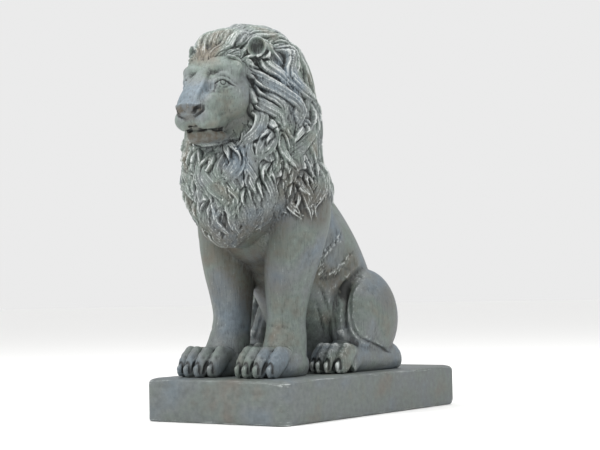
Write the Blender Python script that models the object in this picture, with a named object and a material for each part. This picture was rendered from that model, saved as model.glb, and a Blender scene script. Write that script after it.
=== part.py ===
"""Seated lion on a rectangular plinth, a garden statue in the classical manner.

The lion looks along -Y, +Z is up, and the origin is the centre of the plinth's underside. Lengths are in
metres. The figure is proportioned in parts of its own height, LION_PARTS of them from sole to crown, so
that a pose or a muscle is written as a whole number of parts; its own axes run x to the lion's left,
y backward from a line FRONT_SETBACK behind the plinth's front edge, and z up from the plinth's top.
"""

import math
import random

import bmesh
import bpy
from mathutils import Euler, Matrix, Vector
from mathutils.bvhtree import BVHTree

# Plinth
PLINTH_WIDTH = 0.303
PLINTH_DEPTH = 0.549
PLINTH_HEIGHT = 0.075
ARRIS_WIDTH = 0.009
RIM_WIDTH = 0.014
RIM_FALL = 0.003
CORNER_FALL = 0.005
CORNER_REACH = 0.085
CHIP_SIZE = 0.010
EDGE_STEP = 0.022

# Lion
LION_HEIGHT = 0.634
LION_PARTS = 634
FRONT_SETBACK = 0.030
REST_GAP = 0.0003
CLAY_VOXEL = 4.0
BED_VOXEL = 6.0
CLAY_SMOOTHING = 1
LION_TRIANGLES = 9000
RING_SIDES = 20

# The mane's locks, in parts
LOCK_LENGTHS = (96, 112)
LOCK_WIDTHS = (30, 34)
LOCK_THICKNESSES = (24, 28)
LOCK_RISES = (7, 12)
CROWN_LOCK_RISES = (3, 6)
CROWN_LOCK_THICKNESSES = (13, 17)
NECK_ROWS = 6
NECK_ROW_LOCKS = 16
NECK_LOWEST_ROW = 300
NECK_ROW_STEP = 47
FACE_RING_LOCKS = 11

PART = LION_HEIGHT / LION_PARTS


def clear_scene():
    for old in list(bpy.data.objects):
        bpy.data.objects.remove(old, do_unlink=True)


def material(name, colour, roughness, metallic=0.0):
    made = bpy.data.materials.new(name)
    made.use_nodes = True
    shader = made.node_tree.nodes["Principled BSDF"]
    shader.inputs["Base Color"].default_value = (*colour, 1.0)
    shader.inputs["Roughness"].default_value = roughness
    shader.inputs["Metallic"].default_value = metallic
    return made


# Clay: closed forms that overlap and are later fused into one skin


def ellipsoid(clay, centre, radii, turn=(0, 0, 0)):
    """Adds an egg of three radii, turned by degrees about x, y and z."""
    shape = Matrix.Translation(centre) @ Euler([math.radians(a) for a in turn]).to_matrix().to_4x4()
    bmesh.ops.create_uvsphere(
        clay, u_segments=24, v_segments=14, radius=1.0, matrix=shape @ Matrix.Diagonal((*radii, 1))
    )


def pair(clay, centre, radii, turn=(0, 0, 0)):
    """Adds the same egg on both sides, mirrored."""
    x, y, z = centre
    tip, roll, swing = turn
    ellipsoid(clay, (x, y, z), radii, turn)
    ellipsoid(clay, (-x, y, z), radii, (tip, -roll, -swing))


def smooth_path(points, steps):
    """Reads a Catmull-Rom curve through the points, each a tuple of any length, steps times a span."""
    rows = [points[0], *points, points[-1]]
    path = []
    for before, start, end, after in zip(rows, rows[1:], rows[2:], rows[3:]):
        for step in range(steps):
            t = step / steps
            path.append(
                tuple(
                    0.5 * (2 * q + (r - p) * t + (2 * p - 5 * q + 4 * r - s) * t**2 + (3 * (q - r) + s - p) * t**3)
                    for p, q, r, s in zip(before, start, end, after)
                )
            )
    path.append(tuple(points[-1]))
    return path


def skin_rings(clay, rings):
    """Joins rings of equally many points with quads and closes both ends with a fan."""
    loops = [[clay.verts.new(point) for point in ring] for ring in rings]
    count = len(loops[0])
    for lower, upper in zip(loops, loops[1:]):
        for i in range(count):
            j = (i + 1) % count
            clay.faces.new((lower[i], lower[j], upper[j], upper[i]))
    for loop, flip in ((loops[0], True), (loops[-1], False)):
        middle = clay.verts.new(sum((v.co for v in loop), Vector()) / count)
        for i in range(count):
            corners = (loop[i], loop[(i + 1) % count], middle)
            clay.faces.new(corners[::-1] if flip else corners)


def limb(clay, stations, steps=4, sides=RING_SIDES):
    """Adds a tapering tube. A station is (x, y, z, half its width along x, half its depth across that)."""
    path = smooth_path(stations, steps)
    centres = [Vector(row[:3]) for row in path]
    rings = []
    for i, (x, y, z, wide, deep) in enumerate(path):
        along = (centres[min(i + 1, len(path) - 1)] - centres[max(i - 1, 0)]).normalized()
        across = (Vector((1, 0, 0)) - along * along.x).normalized()
        up = along.cross(across)
        turns = [2 * math.pi * k / sides for k in range(sides)]
        rings.append([centres[i] + across * wide * math.cos(a) + up * deep * math.sin(a) for a in turns])
    skin_rings(clay, rings)


def limb_pair(clay, stations, **how):
    limb(clay, stations, **how)
    limb(clay, [(-x, *rest) for x, *rest in stations], **how)


def torso(clay):
    """The barrel from the chest to the rump, with the spine sloping as a seated cat's does."""
    limb(
        clay,
        [
            (0, 40, 268, 44, 40),
            (0, 72, 274, 78, 74),
            (0, 116, 276, 94, 92),
            (0, 166, 262, 99, 104),
            (0, 212, 226, 101, 110),
            (0, 254, 176, 103, 112),
            (0, 284, 124, 102, 110),
            (0, 296, 70, 96, 98),
            (0, 296, 20, 84, 84),
        ],
    )


def forelegs(clay):
    limb_pair(
        clay,
        [
            (60, 136, 362, 34, 42),
            (76, 128, 330, 48, 58),
            (81, 120, 280, 51, 60),
            (76, 112, 232, 49, 54),
            (68, 106, 186, 45, 48),
            (62, 104, 140, 38, 41),
            (60, 102, 100, 33, 36),
            (62, 96, 62, 36, 38),
            (64, 84, 24, 40, 42),
            (64, 80, 4, 38, 40),
        ],
    )


def toes(clay, x, y, spread, length):
    """Four knuckled toes in a row about x, the middle two reaching furthest."""
    for place in (-1.5, -0.5, 0.5, 1.5):
        back = 9 * (abs(place) - 0.5)
        toe_x = x + place * spread
        lean = place * 3.0
        limb(
            clay,
            [
                (toe_x - lean, y + length + back, 32, 9, 12),
                (toe_x - lean * 0.5, y + length * 0.62 + back, 37, 12.5, 15),
                (toe_x, y + length * 0.3 + back, 28, 13.5, 19),
                (toe_x, y + 5 + back, 13, 11.5, 15),
                (toe_x, y - 3 + back, 4, 7, 9),
            ],
            sides=14,
        )


def paws(clay):
    for side in (-1, 1):
        ellipsoid(clay, (64 * side, 72, 20), (45, 60, 34))
        ellipsoid(clay, (63 * side, 108, 18), (34, 30, 30))
        toes(clay, 64 * side, 0, 22.5, 56)
        limb(
            clay,
            [
                (26 * side, 112, 44, 8, 9),
                (20 * side, 96, 38, 9, 11),
                (19 * side, 82, 27, 8, 9),
                (20 * side, 74, 17, 4, 5),
            ],
            sides=12,
        )


def haunches(clay):
    pair(clay, (90, 300, 98), (52, 82, 88), (22, 0, 0))
    pair(clay, (98, 254, 94), (41, 46, 70), (-12, 0, 0))
    limb_pair(
        clay,
        [
            (92, 376, 4, 26, 20),
            (93, 362, 20, 32, 30),
            (94, 318, 24, 33, 34),
            (95, 274, 26, 33, 34),
            (96, 232, 28, 34, 34),
            (97, 218, 24, 35, 32),
            (97, 204, 10, 34, 26),
        ],
    )
    for side in (-1, 1):
        toes(clay, 97 * side, 163, 18, 50)


def tail(clay):
    """The tail leaves the rump and curls on the plinth behind the right haunch, with a tuft at its end."""
    limb(
        clay,
        [
            (0, 366, 62, 20, 20),
            (-4, 398, 36, 17, 17),
            (-20, 424, 17, 14, 14),
            (-52, 440, 13, 13, 13),
            (-86, 438, 13, 12, 12),
            (-108, 424, 14, 17, 16),
            (-122, 402, 14, 15, 15),
            (-127, 382, 8, 6, 7),
        ],
        sides=14,
    )


MANE_CORE = [
    (0, 83, 611, 32, 38),
    (0, 84, 600, 58, 64),
    (0, 89, 572, 77, 84),
    (0, 97, 534, 89, 94),
    (0, 101, 495, 99, 103),
    (0, 101, 450, 105, 110),
    (0, 98, 405, 110, 119),
    (0, 94, 360, 112, 124),
    (0, 90, 322, 107, 121),
    (0, 82, 288, 90, 106),
    (0, 64, 258, 58, 76),
    (0, 50, 236, 26, 40),
]


def mane_core(clay):
    """The bulk under the locks, as slices that lie level."""
    rings = []
    for x, y, z, wide, deep in smooth_path(MANE_CORE, 3):
        turns = [2 * math.pi * k / 32 for k in range(32)]
        rings.append([Vector((x + wide * math.cos(a), y - deep * math.sin(a), z)) for a in turns])
    skin_rings(clay, rings)


def cup(clay, centre, radii, wall, turn):
    """Adds an open bowl, half an egg of three radii, that faces its own -Y with a lip one wall deep."""
    wide, deep, high = radii
    place = Matrix.Translation(centre) @ Euler([math.radians(a) for a in turn]).to_matrix().to_4x4()
    arc = [math.radians(a) for a in (18, 40, 62, 80, 90)]
    outside = [(math.sin(a), deep * math.cos(a)) for a in arc[:-1]] + [(1.0, -wall)]
    inside = [(math.sin(a), (deep - wall) * math.cos(a)) for a in arc[::-1]]
    turns = [2 * math.pi * k / RING_SIDES for k in range(RING_SIDES)]
    rings = []
    for profile, across, upward in ((outside, wide, high), (inside, wide - wall, high - wall)):
        for share, depth in profile:
            rings.append(
                [place @ Vector((across * share * math.cos(a), depth, upward * share * math.sin(a))) for a in turns]
            )
    skin_rings(clay, rings)


def skull(clay):
    """The braincase, the hair's mass over the brow, and the cheeks."""
    ellipsoid(clay, (0, 44, 526), (65, 76, 66))
    ellipsoid(clay, (0, 22, 568), (54, 48, 32))
    ellipsoid(clay, (0, -2, 532), (54, 36, 38), (-20, 0, 0))
    pair(clay, (38, 4, 478), (27, 36, 42))
    pair(clay, (39, -17, 490), (25, 21, 14), (0, 20, 0))


def eyes(clay):
    """The brows, the filled orbits, the eyeballs and a lid over and under each."""
    pair(clay, (30, -31, 529), (22, 13, 11), (0, -8, 16))
    pair(clay, (46, -18, 527), (18, 14, 12), (0, -8, 16))
    pair(clay, (35, -19, 510), (24, 17, 20))
    pair(clay, (32, -29, 511), (10, 9, 9))
    lid = [(18, -31, 506, 3, 3), (25, -38, 517, 4, 4), (34, -38, 519, 4, 4), (44, -30, 511, 3, 3)]
    limb_pair(clay, lid, steps=2, sides=8)
    limb_pair(clay, [(x, y, 2 * 508 - z, 3, 3) for x, y, z, _, _ in lid], steps=2, sides=8)


def muzzle(clay):
    """The bridge, the nose pad, the whisker pads and, under a crease for the mouth, the jaw."""
    pair(clay, (27, -27, 490), (23, 26, 28))
    limb(clay, [(0, -22, 534, 24, 14), (0, -37, 510, 21, 15), (0, -59, 486, 21, 15), (0, -77, 465, 23, 13)])
    ellipsoid(clay, (0, -30, 448), (42, 50, 34))
    pair(clay, (21, -55, 438), (24, 26, 21))
    ellipsoid(clay, (0, -82, 458), (27, 14, 12))
    ellipsoid(clay, (0, -26, 410), (37, 43, 16))


def head(clay):
    skull(clay)
    eyes(clay)
    muzzle(clay)
    for side in (-1, 1):
        cup(clay, (73 * side, 20, 564), (16, 15, 20), 6, (0, 12 * side, 30 * side))


FACE_CENTRE = Vector((0, -30, 490))


def ramp(value, start, end):
    return min(1.0, max(0.0, (value - start) / (end - start)))


def combed(point, normal):
    """The way the hair lies at a point: away from the face, up over the crown, and down elsewhere."""
    away = point - FACE_CENTRE
    reach = away.length
    crown = ramp(point.z, 545, 585) * ramp(point.y, 130, 70)
    flow = away.normalized() * max(0.1, 1.3 - reach / 150 + 0.6 * crown)
    flow += Vector((0, 0.5 * crown, -min(1.3, reach / 120) * (1 - crown)))
    flow -= normal * flow.dot(normal)
    return flow.normalized()


def lock_path(bed, root, length, swing, phase, rise):
    """Walks over the bed from the root in a wave, and rises off it towards the tip."""
    steps = 12
    point, normal = bed.find_nearest(root)[:2]
    path = []
    for step in range(steps + 1):
        t = step / steps
        lift = rise * (math.sin(math.pi * min(1.0, t * 1.2)) ** 0.5 * 0.5 + 0.7 * t * t) - 5 * (1 - t) ** 3
        path.append((point + normal * lift, normal.copy()))
        flow = combed(point, normal)
        turn = swing * math.cos(2 * math.pi * t * 0.9 + phase)
        flow = Matrix.Rotation(turn, 3, normal) @ flow
        point, normal = bed.find_nearest(point + flow * length / steps)[:2]
    return path


def lock(clay, path, width, thick):
    """Adds one lock of hair: a crested leaf that swells quickly from its root and runs out to a point."""
    section = [(0.5, 0.0), (0.3, 0.24), (0.0, 0.5), (-0.3, 0.24), (-0.5, 0.0), (0.0, -0.4)]
    rings = []
    last = len(path) - 1
    for i, (centre, normal) in enumerate(path):
        t = i / last
        along = (path[min(i + 1, last)][0] - path[max(i - 1, 0)][0]).normalized()
        across = along.cross(normal).normalized()
        up = across.cross(along)
        leaf = max(0.10, math.sin(math.pi * (0.14 + 0.86 * t) ** 0.8) ** 0.8)
        rings.append([centre + across * width * leaf * x + up * thick * leaf * y for x, y in section])
    skin_rings(clay, rings)


def mane_bed():
    """The surface that the locks grow from: the mane's bulk and the head, melted together."""
    core = bmesh.new()
    mane_core(core)
    head(core)
    form = melted("bed", core, voxel=BED_VOXEL, smoothing=CLAY_SMOOTHING)
    skin = evaluated(form)
    bpy.data.objects.remove(form, do_unlink=True)
    bed = BVHTree.FromBMesh(skin)
    skin.free()
    return bed


def on_face(spot):
    return abs(spot.x) < 66 and spot.y < 26 and spot.z > 398


def grow(clay, bed, dice, root, swing, rises=LOCK_RISES, thicknesses=LOCK_THICKNESSES):
    path = lock_path(
        bed,
        root,
        length=dice.uniform(*LOCK_LENGTHS),
        swing=swing,
        phase=dice.uniform(-0.3, 0.3),
        rise=dice.uniform(*rises),
    )
    lock(clay, path, dice.uniform(*LOCK_WIDTHS), dice.uniform(*thicknesses))


def level_rows(clay, bed, dice):
    """Rows round the neck and chest, each over the row below, that wave in turn to one side and the other."""
    for row in range(NECK_ROWS):
        level = NECK_LOWEST_ROW + row * NECK_ROW_STEP
        for k in range(NECK_ROW_LOCKS):
            a = 2 * math.pi * (k + 0.5 * (row % 2) + dice.uniform(-0.1, 0.1)) / NECK_ROW_LOCKS
            root = Vector((150 * math.sin(a), 98 - 150 * math.cos(a), level + dice.uniform(-6, 6)))
            if not on_face(bed.find_nearest(root)[0]):
                grow(clay, bed, dice, root, math.copysign(0.5, math.sin(a)) * (-1) ** row)


def face_rings(clay, bed, dice):
    """Rings round the face, the outer one first, that sweep back from the temples and cheeks."""
    for ring, (half_width, back, half_height) in enumerate(((100, 58, 112), (78, 24, 90))):
        for k in range(FACE_RING_LOCKS):
            a = math.radians(64 + 232 * (k + 0.5) / FACE_RING_LOCKS)
            side = abs(math.sin(a))
            root = Vector((half_width * math.sin(a), back * side - 30 * (1 - side), 488 + half_height * math.cos(a)))
            grow(clay, bed, dice, root, math.copysign(0.6, root.x))


def crown_rings(clay, bed, dice):
    """Arcs over the crown, combed up from the brow and back."""
    for ring, (back, high) in enumerate(((120, 590), (62, 606), (6, 568))):
        count = 5 + ring
        for k in range(count):
            side = math.sin(math.radians(78) * ((k + 0.5) / count * 2 - 1))
            root = Vector((side * 76, back + 26 * side * side, high - 20 * side * side))
            grow(clay, bed, dice, root, 0.35 * (-1) ** ring, CROWN_LOCK_RISES, CROWN_LOCK_THICKNESSES)


def mane(clay):
    dice = random.Random(7)
    bed = mane_bed()
    level_rows(clay, bed, dice)
    crown_rings(clay, bed, dice)
    face_rings(clay, bed, dice)


def melted(name, clay, voxel, smoothing):
    """Makes an object of the clay, in parts, whose modifiers melt its forms into one skin."""
    mesh = bpy.data.meshes.new(name)
    bmesh.ops.recalc_face_normals(clay, faces=clay.faces)
    clay.to_mesh(mesh)
    clay.free()
    made = bpy.data.objects.new(name, mesh)
    bpy.context.scene.collection.objects.link(made)
    remesh = made.modifiers.new("Fuse", "REMESH")
    remesh.mode = "VOXEL"
    remesh.voxel_size = voxel
    soften = made.modifiers.new("Soften", "SMOOTH")
    soften.factor = 0.5
    soften.iterations = smoothing
    return made


def evaluated(made):
    """The mesh as its modifiers leave it, as a bmesh."""
    skin = bmesh.new()
    skin.from_mesh(made.evaluated_get(bpy.context.evaluated_depsgraph_get()).to_mesh())
    return skin


def thin_out(made, triangles):
    """Leaves about so many triangles, most of them where the surface bends."""
    skin = evaluated(made)
    decimate = made.modifiers.new("Thin out", "DECIMATE")
    decimate.ratio = triangles / sum(len(face.verts) - 2 for face in skin.faces)
    decimate.use_collapse_triangulate = True
    skin.free()


def keep_largest_shell(skin):
    shells, left = [], set(skin.verts)
    while left:
        shell, edge = set(), [left.pop()]
        while edge:
            vert = edge.pop()
            shell.add(vert)
            for link in vert.link_edges:
                other = link.other_vert(vert)
                if other in left:
                    left.remove(other)
                    edge.append(other)
        shells.append(shell)
    shells.sort(key=len)
    bmesh.ops.delete(skin, geom=[v for shell in shells[:-1] for v in shell], context="VERTS")


def cut_flat(made):
    """Bakes the skin in metres, keeps its one outer shell and cuts the soles off flat at z = 0."""
    skin = evaluated(made)
    keep_largest_shell(skin)
    bmesh.ops.scale(skin, vec=(PART, PART, PART), verts=skin.verts)
    cut = bmesh.ops.bisect_plane(
        skin, geom=[*skin.verts, *skin.edges, *skin.faces], plane_co=(0, 0, 0), plane_no=(0, 0, -1), clear_outer=True
    )
    rims = [e for e in cut["geom_cut"] if isinstance(e, bmesh.types.BMEdge)]
    bmesh.ops.holes_fill(skin, edges=rims, sides=0)
    made.modifiers.clear()
    skin.to_mesh(made.data)
    skin.free()


def lion(finish):
    clay = bmesh.new()
    torso(clay)
    forelegs(clay)
    paws(clay)
    haunches(clay)
    tail(clay)
    mane_core(clay)
    head(clay)
    mane(clay)
    made = melted("lion", clay, CLAY_VOXEL, CLAY_SMOOTHING)
    thin_out(made, LION_TRIANGLES)
    cut_flat(made)
    made.data.materials.append(finish)
    made.data.shade_smooth()
    made.location = (0, -PLINTH_DEPTH / 2 + FRONT_SETBACK, PLINTH_HEIGHT + REST_GAP)


def spaced(length, count):
    """Evenly spaced places from -length / 2 to length / 2."""
    return [length * (k / count - 0.5) for k in range(count + 1)]


def rim_height(x, y):
    """The plinth's top is level where the lion stands, and falls at the rim and more towards a corner."""
    inset = min(PLINTH_WIDTH / 2 - abs(x), PLINTH_DEPTH / 2 - abs(y))
    corner = math.hypot(PLINTH_WIDTH / 2 - abs(x), PLINTH_DEPTH / 2 - abs(y))
    rim = max(0.0, 1 - inset / RIM_WIDTH) ** 2
    near = max(0.0, 1 - corner / CORNER_REACH) ** 2
    return PLINTH_HEIGHT - rim * (RIM_FALL + CORNER_FALL * near)


def plinth_outline(inset):
    """The corners-clipped rectangle, run round once, with points along each side for the rim's bow."""
    w, d, a = PLINTH_WIDTH / 2 - inset, PLINTH_DEPTH / 2 - inset, max(ARRIS_WIDTH - inset, ARRIS_WIDTH / 4)
    across = spaced(2 * (w - a), round(PLINTH_WIDTH / EDGE_STEP))
    along = spaced(2 * (d - a), round(PLINTH_DEPTH / EDGE_STEP))
    front = [(x, -d) for x in across]
    left = [(w, y) for y in along]
    return front + left + [(-x, -y) for x, y in front] + [(-x, -y) for x, y in left]


def plinth(finish):
    block = bmesh.new()
    outer, inner = plinth_outline(0), plinth_outline(RIM_WIDTH)
    rings = [
        [Vector((x, y, 0)) for x, y in outer],
        [Vector((x, y, rim_height(x, y))) for x, y in outer],
        [Vector((x, y, rim_height(x, y))) for x, y in plinth_outline(RIM_WIDTH * 0.35)],
        [Vector((x, y, PLINTH_HEIGHT)) for x, y in inner],
    ]
    loops = [[block.verts.new(point) for point in ring] for ring in rings]
    count = len(outer)
    for lower, upper in zip(loops, loops[1:]):
        for i in range(count):
            j = (i + 1) % count
            block.faces.new((lower[i], lower[j], upper[j], upper[i]))
    block.faces.new(loops[0][::-1])
    block.faces.new(loops[-1])
    chip_corner(block)
    mesh = bpy.data.meshes.new("plinth")
    block.to_mesh(mesh)
    block.free()
    made = bpy.data.objects.new("plinth", mesh)
    mesh.materials.append(finish)
    bpy.context.scene.collection.objects.link(made)
    mesh.shade_smooth()
    mesh.set_sharp_from_angle(angle=math.radians(30))


def chip_corner(block):
    """Breaks the bottom corner at the back on the lion's left."""
    corner = Vector((PLINTH_WIDTH / 2, PLINTH_DEPTH / 2, 0))
    slope = Vector((0.4, 1, -1)).normalized()
    cut = bmesh.ops.bisect_plane(
        block,
        geom=[*block.verts, *block.edges, *block.faces],
        plane_co=corner - slope * CHIP_SIZE,
        plane_no=slope,
        clear_outer=True,
    )
    rims = [e for e in cut["geom_cut"] if isinstance(e, bmesh.types.BMEdge)]
    bmesh.ops.holes_fill(block, edges=rims, sides=0)


def main():
    clear_scene()
    plinth(material("weathered_plinth_finish", (0.15, 0.17, 0.17), 0.6))
    lion(material("weathered_stone_finish", (0.19, 0.21, 0.20), 0.62))


main()
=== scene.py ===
"""Seated lion on a plinth, a cast garden figure: its finished surface, its patina and the studio shot.

The figure is laid out in parts, PART metres each. Its own axes run x to the lion's left, y backward from a
line FRONT_SETBACK behind the plinth's front edge, and z up from the plinth's level top. The forms are
the ones that the solids are made of, melted together here on a finer grid, with the hair, the face, the toes
and the fur worked over them.
"""

import logging
import math
import random
from dataclasses import dataclass, field, replace
from enum import Enum

import bmesh
import bpy
import numpy as np
from mathutils import Euler, Matrix, Vector, noise
from mathutils.bvhtree import BVHTree


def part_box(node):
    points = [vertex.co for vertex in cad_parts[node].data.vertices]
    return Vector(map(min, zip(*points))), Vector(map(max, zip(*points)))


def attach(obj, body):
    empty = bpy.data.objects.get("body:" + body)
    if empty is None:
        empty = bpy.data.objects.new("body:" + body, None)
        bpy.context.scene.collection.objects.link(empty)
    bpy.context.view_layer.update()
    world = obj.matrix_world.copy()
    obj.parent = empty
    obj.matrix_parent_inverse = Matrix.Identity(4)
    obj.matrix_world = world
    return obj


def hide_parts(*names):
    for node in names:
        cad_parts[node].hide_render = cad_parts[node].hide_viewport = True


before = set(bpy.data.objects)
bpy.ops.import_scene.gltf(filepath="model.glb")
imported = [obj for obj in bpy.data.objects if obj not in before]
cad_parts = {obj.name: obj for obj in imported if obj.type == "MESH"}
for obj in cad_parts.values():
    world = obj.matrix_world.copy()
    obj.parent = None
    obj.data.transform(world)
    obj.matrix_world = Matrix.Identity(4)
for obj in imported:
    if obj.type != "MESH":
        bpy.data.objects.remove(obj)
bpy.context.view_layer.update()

LOG = logging.getLogger("lion")

PART = 0.001
FRONT_SETBACK = 0.030
REST_GAP = 0.0003
CELL = 10.0


def ramp(value: float, start: float, end: float) -> float:
    """Returns how far value is on the way from start to end, held between 0 and 1."""
    return min(1.0, max(0.0, (value - start) / (end - start)))


def smooth_path(points: list[tuple], steps: int) -> list[tuple]:
    """Reads a Catmull-Rom curve through points.

    Args:
        points: tuples of any one length, such as places, or places with two radii.
        steps: how many rows each span gives.

    Returns:
        The rows along the curve, the last point included.
    """
    rows = [points[0], *points, points[-1]]
    path = []
    for before, start, end, after in zip(rows, rows[1:], rows[2:], rows[3:]):
        for step in range(steps):
            t = step / steps
            path.append(
                tuple(
                    0.5 * (2 * q + (r - p) * t + (2 * p - 5 * q + 4 * r - s) * t**2 + (3 * (q - r) + s - p) * t**3)
                    for p, q, r, s in zip(before, start, end, after)
                )
            )
    path.append(tuple(points[-1]))
    return path


def turned(degrees: tuple[float, float, float]) -> Matrix:
    """Returns the rotation by degrees about x, y and z."""
    return Euler([math.radians(a) for a in degrees]).to_matrix().to_4x4()


class Clay:
    """Closed forms in parts that overlap and are melted into one skin."""

    def __init__(self) -> None:
        """Starts with no form."""
        self.mesh = bmesh.new()

    def rings(self, rings: list[list[Vector]]) -> None:
        """Adds a closed tube through rings of equally many points, with a fan at both ends.

        Args:
            rings: the rings in order from one end to the other.
        """
        loops = [[self.mesh.verts.new(point) for point in ring] for ring in rings]
        count = len(loops[0])
        for lower, upper in zip(loops, loops[1:]):
            for i in range(count):
                j = (i + 1) % count
                self.mesh.faces.new((lower[i], lower[j], upper[j], upper[i]))
        for loop, flip in ((loops[0], True), (loops[-1], False)):
            middle = self.mesh.verts.new(sum((v.co for v in loop), Vector()) / count)
            for i in range(count):
                corners = (loop[i], loop[(i + 1) % count], middle)
                self.mesh.faces.new(corners[::-1] if flip else corners)

    def egg(self, centre: tuple, radii: tuple, turn: tuple = (0, 0, 0)) -> None:
        """Adds an ellipsoid.

        Args:
            centre: its middle.
            radii: its three radii.
            turn: degrees about x, y and z.
        """
        place = Matrix.Translation(centre) @ turned(turn) @ Matrix.Diagonal((*radii, 1))
        rows, sides = 18, 32
        rings = []
        for row in range(1, rows):
            tilt = math.pi * row / rows
            angles = [2 * math.pi * k / sides for k in range(sides)]
            ring = [(math.sin(tilt) * math.cos(a), math.sin(tilt) * math.sin(a), -math.cos(tilt)) for a in angles]
            rings.append([place @ Vector(point) for point in ring])
        self.rings(rings)

    def eggs(self, centre: tuple, radii: tuple, turn: tuple = (0, 0, 0)) -> None:
        """Adds the same ellipsoid on both sides, mirrored."""
        x, y, z = centre
        tip, roll, swing = turn
        self.egg((x, y, z), radii, (tip, roll, swing))
        self.egg((-x, y, z), radii, (tip, -roll, -swing))

    def limb(self, stations: list[tuple], steps: int = 5, sides: int = 28) -> None:
        """Adds a tapering tube.

        Args:
            stations: rows of x, y, z, half the width along x and half the depth across that.
            steps: how many rings each span gives.
            sides: how many points a ring has.
        """
        path = smooth_path(stations, steps)
        centres = [Vector(row[:3]) for row in path]
        turns = [2 * math.pi * k / sides for k in range(sides)]
        rings = []
        for i, (_, _, _, wide, deep) in enumerate(path):
            along = (centres[min(i + 1, len(path) - 1)] - centres[max(i - 1, 0)]).normalized()
            across = (Vector((1, 0, 0)) - along * along.x).normalized()
            up = along.cross(across)
            rings.append([centres[i] + across * wide * math.cos(a) + up * deep * math.sin(a) for a in turns])
        self.rings(rings)

    def limbs(self, stations: list[tuple], **how: int) -> None:
        """Adds the same tube on both sides, mirrored."""
        self.limb(stations, **how)
        self.limb([(-x, *rest) for x, *rest in stations], **how)

    def slices(self, stations: list[tuple], steps: int = 4, sides: int = 40) -> None:
        """Adds a form of level slices.

        Args:
            stations: rows of x, y, z, half the width and half the depth.
            steps: how many slices each span gives.
            sides: how many points a slice has.
        """
        turns = [2 * math.pi * k / sides for k in range(sides)]
        self.rings(
            [
                [Vector((x + wide * math.cos(a), y - deep * math.sin(a), z)) for a in turns]
                for x, y, z, wide, deep in smooth_path(stations, steps)
            ]
        )

    def cup(self, centre: tuple, radii: tuple, wall: float, turn: tuple) -> None:
        """Adds an open bowl that faces its own -y.

        Args:
            centre: the middle of its mouth.
            radii: half its width, its depth and half its height.
            wall: its thickness.
            turn: degrees about x, y and z.
        """
        wide, deep, high = radii
        place = Matrix.Translation(centre) @ turned(turn)
        arc = [(math.sin(math.radians(a)), math.cos(math.radians(a))) for a in (12, 30, 48, 66, 80, 90)]
        rings = []
        for shrink, profile in ((0.0, arc), (wall, arc[::-1])):
            for across, inward in profile:
                lip = wall if not shrink and inward < 0.01 else 0.0
                ring = []
                for k in range(28):
                    a = 2 * math.pi * k / 28
                    point = (
                        (wide - shrink) * across * math.cos(a),
                        (deep - shrink) * inward - lip,
                        (high - shrink) * across * math.sin(a),
                    )
                    ring.append(place @ Vector(point))
                rings.append(ring)
        self.rings(rings)

    def melt(self, name: str, voxel: float, smoothing: int) -> bpy.types.Object:
        """Melts the forms into one skin.

        Args:
            name: the object's name.
            voxel: the grid's step, in parts.
            smoothing: how many times the skin is evened out.

        Returns:
            An object whose mesh is the skin, in parts.
        """
        bmesh.ops.recalc_face_normals(self.mesh, faces=self.mesh.faces)
        rough = bpy.data.meshes.new(name + "_clay")
        self.mesh.to_mesh(rough)
        self.mesh.free()
        made = bpy.data.objects.new(name, rough)
        bpy.context.scene.collection.objects.link(made)
        remesh = made.modifiers.new("Melt", "REMESH")
        remesh.mode = "VOXEL"
        remesh.voxel_size = voxel
        soften = made.modifiers.new("Soften", "SMOOTH")
        soften.factor = 0.5
        soften.iterations = smoothing
        bake_modifiers(made)
        return made


def bake_modifiers(made: bpy.types.Object) -> None:
    """Replaces an object's mesh by what its modifiers make of it."""
    graph = bpy.context.evaluated_depsgraph_get()
    baked = bpy.data.meshes.new_from_object(made.evaluated_get(graph), depsgraph=graph)
    made.modifiers.clear()
    made.data = baked


def thin_out(made: bpy.types.Object, triangles: int) -> None:
    """Thins an object's mesh to so many triangles, most of them left where it bends."""
    made.data.calc_loop_triangles()
    decimate = made.modifiers.new("Thin", "DECIMATE")
    decimate.ratio = min(1.0, triangles / len(made.data.loop_triangles))
    decimate.use_collapse_triangulate = True
    bake_modifiers(made)


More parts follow.
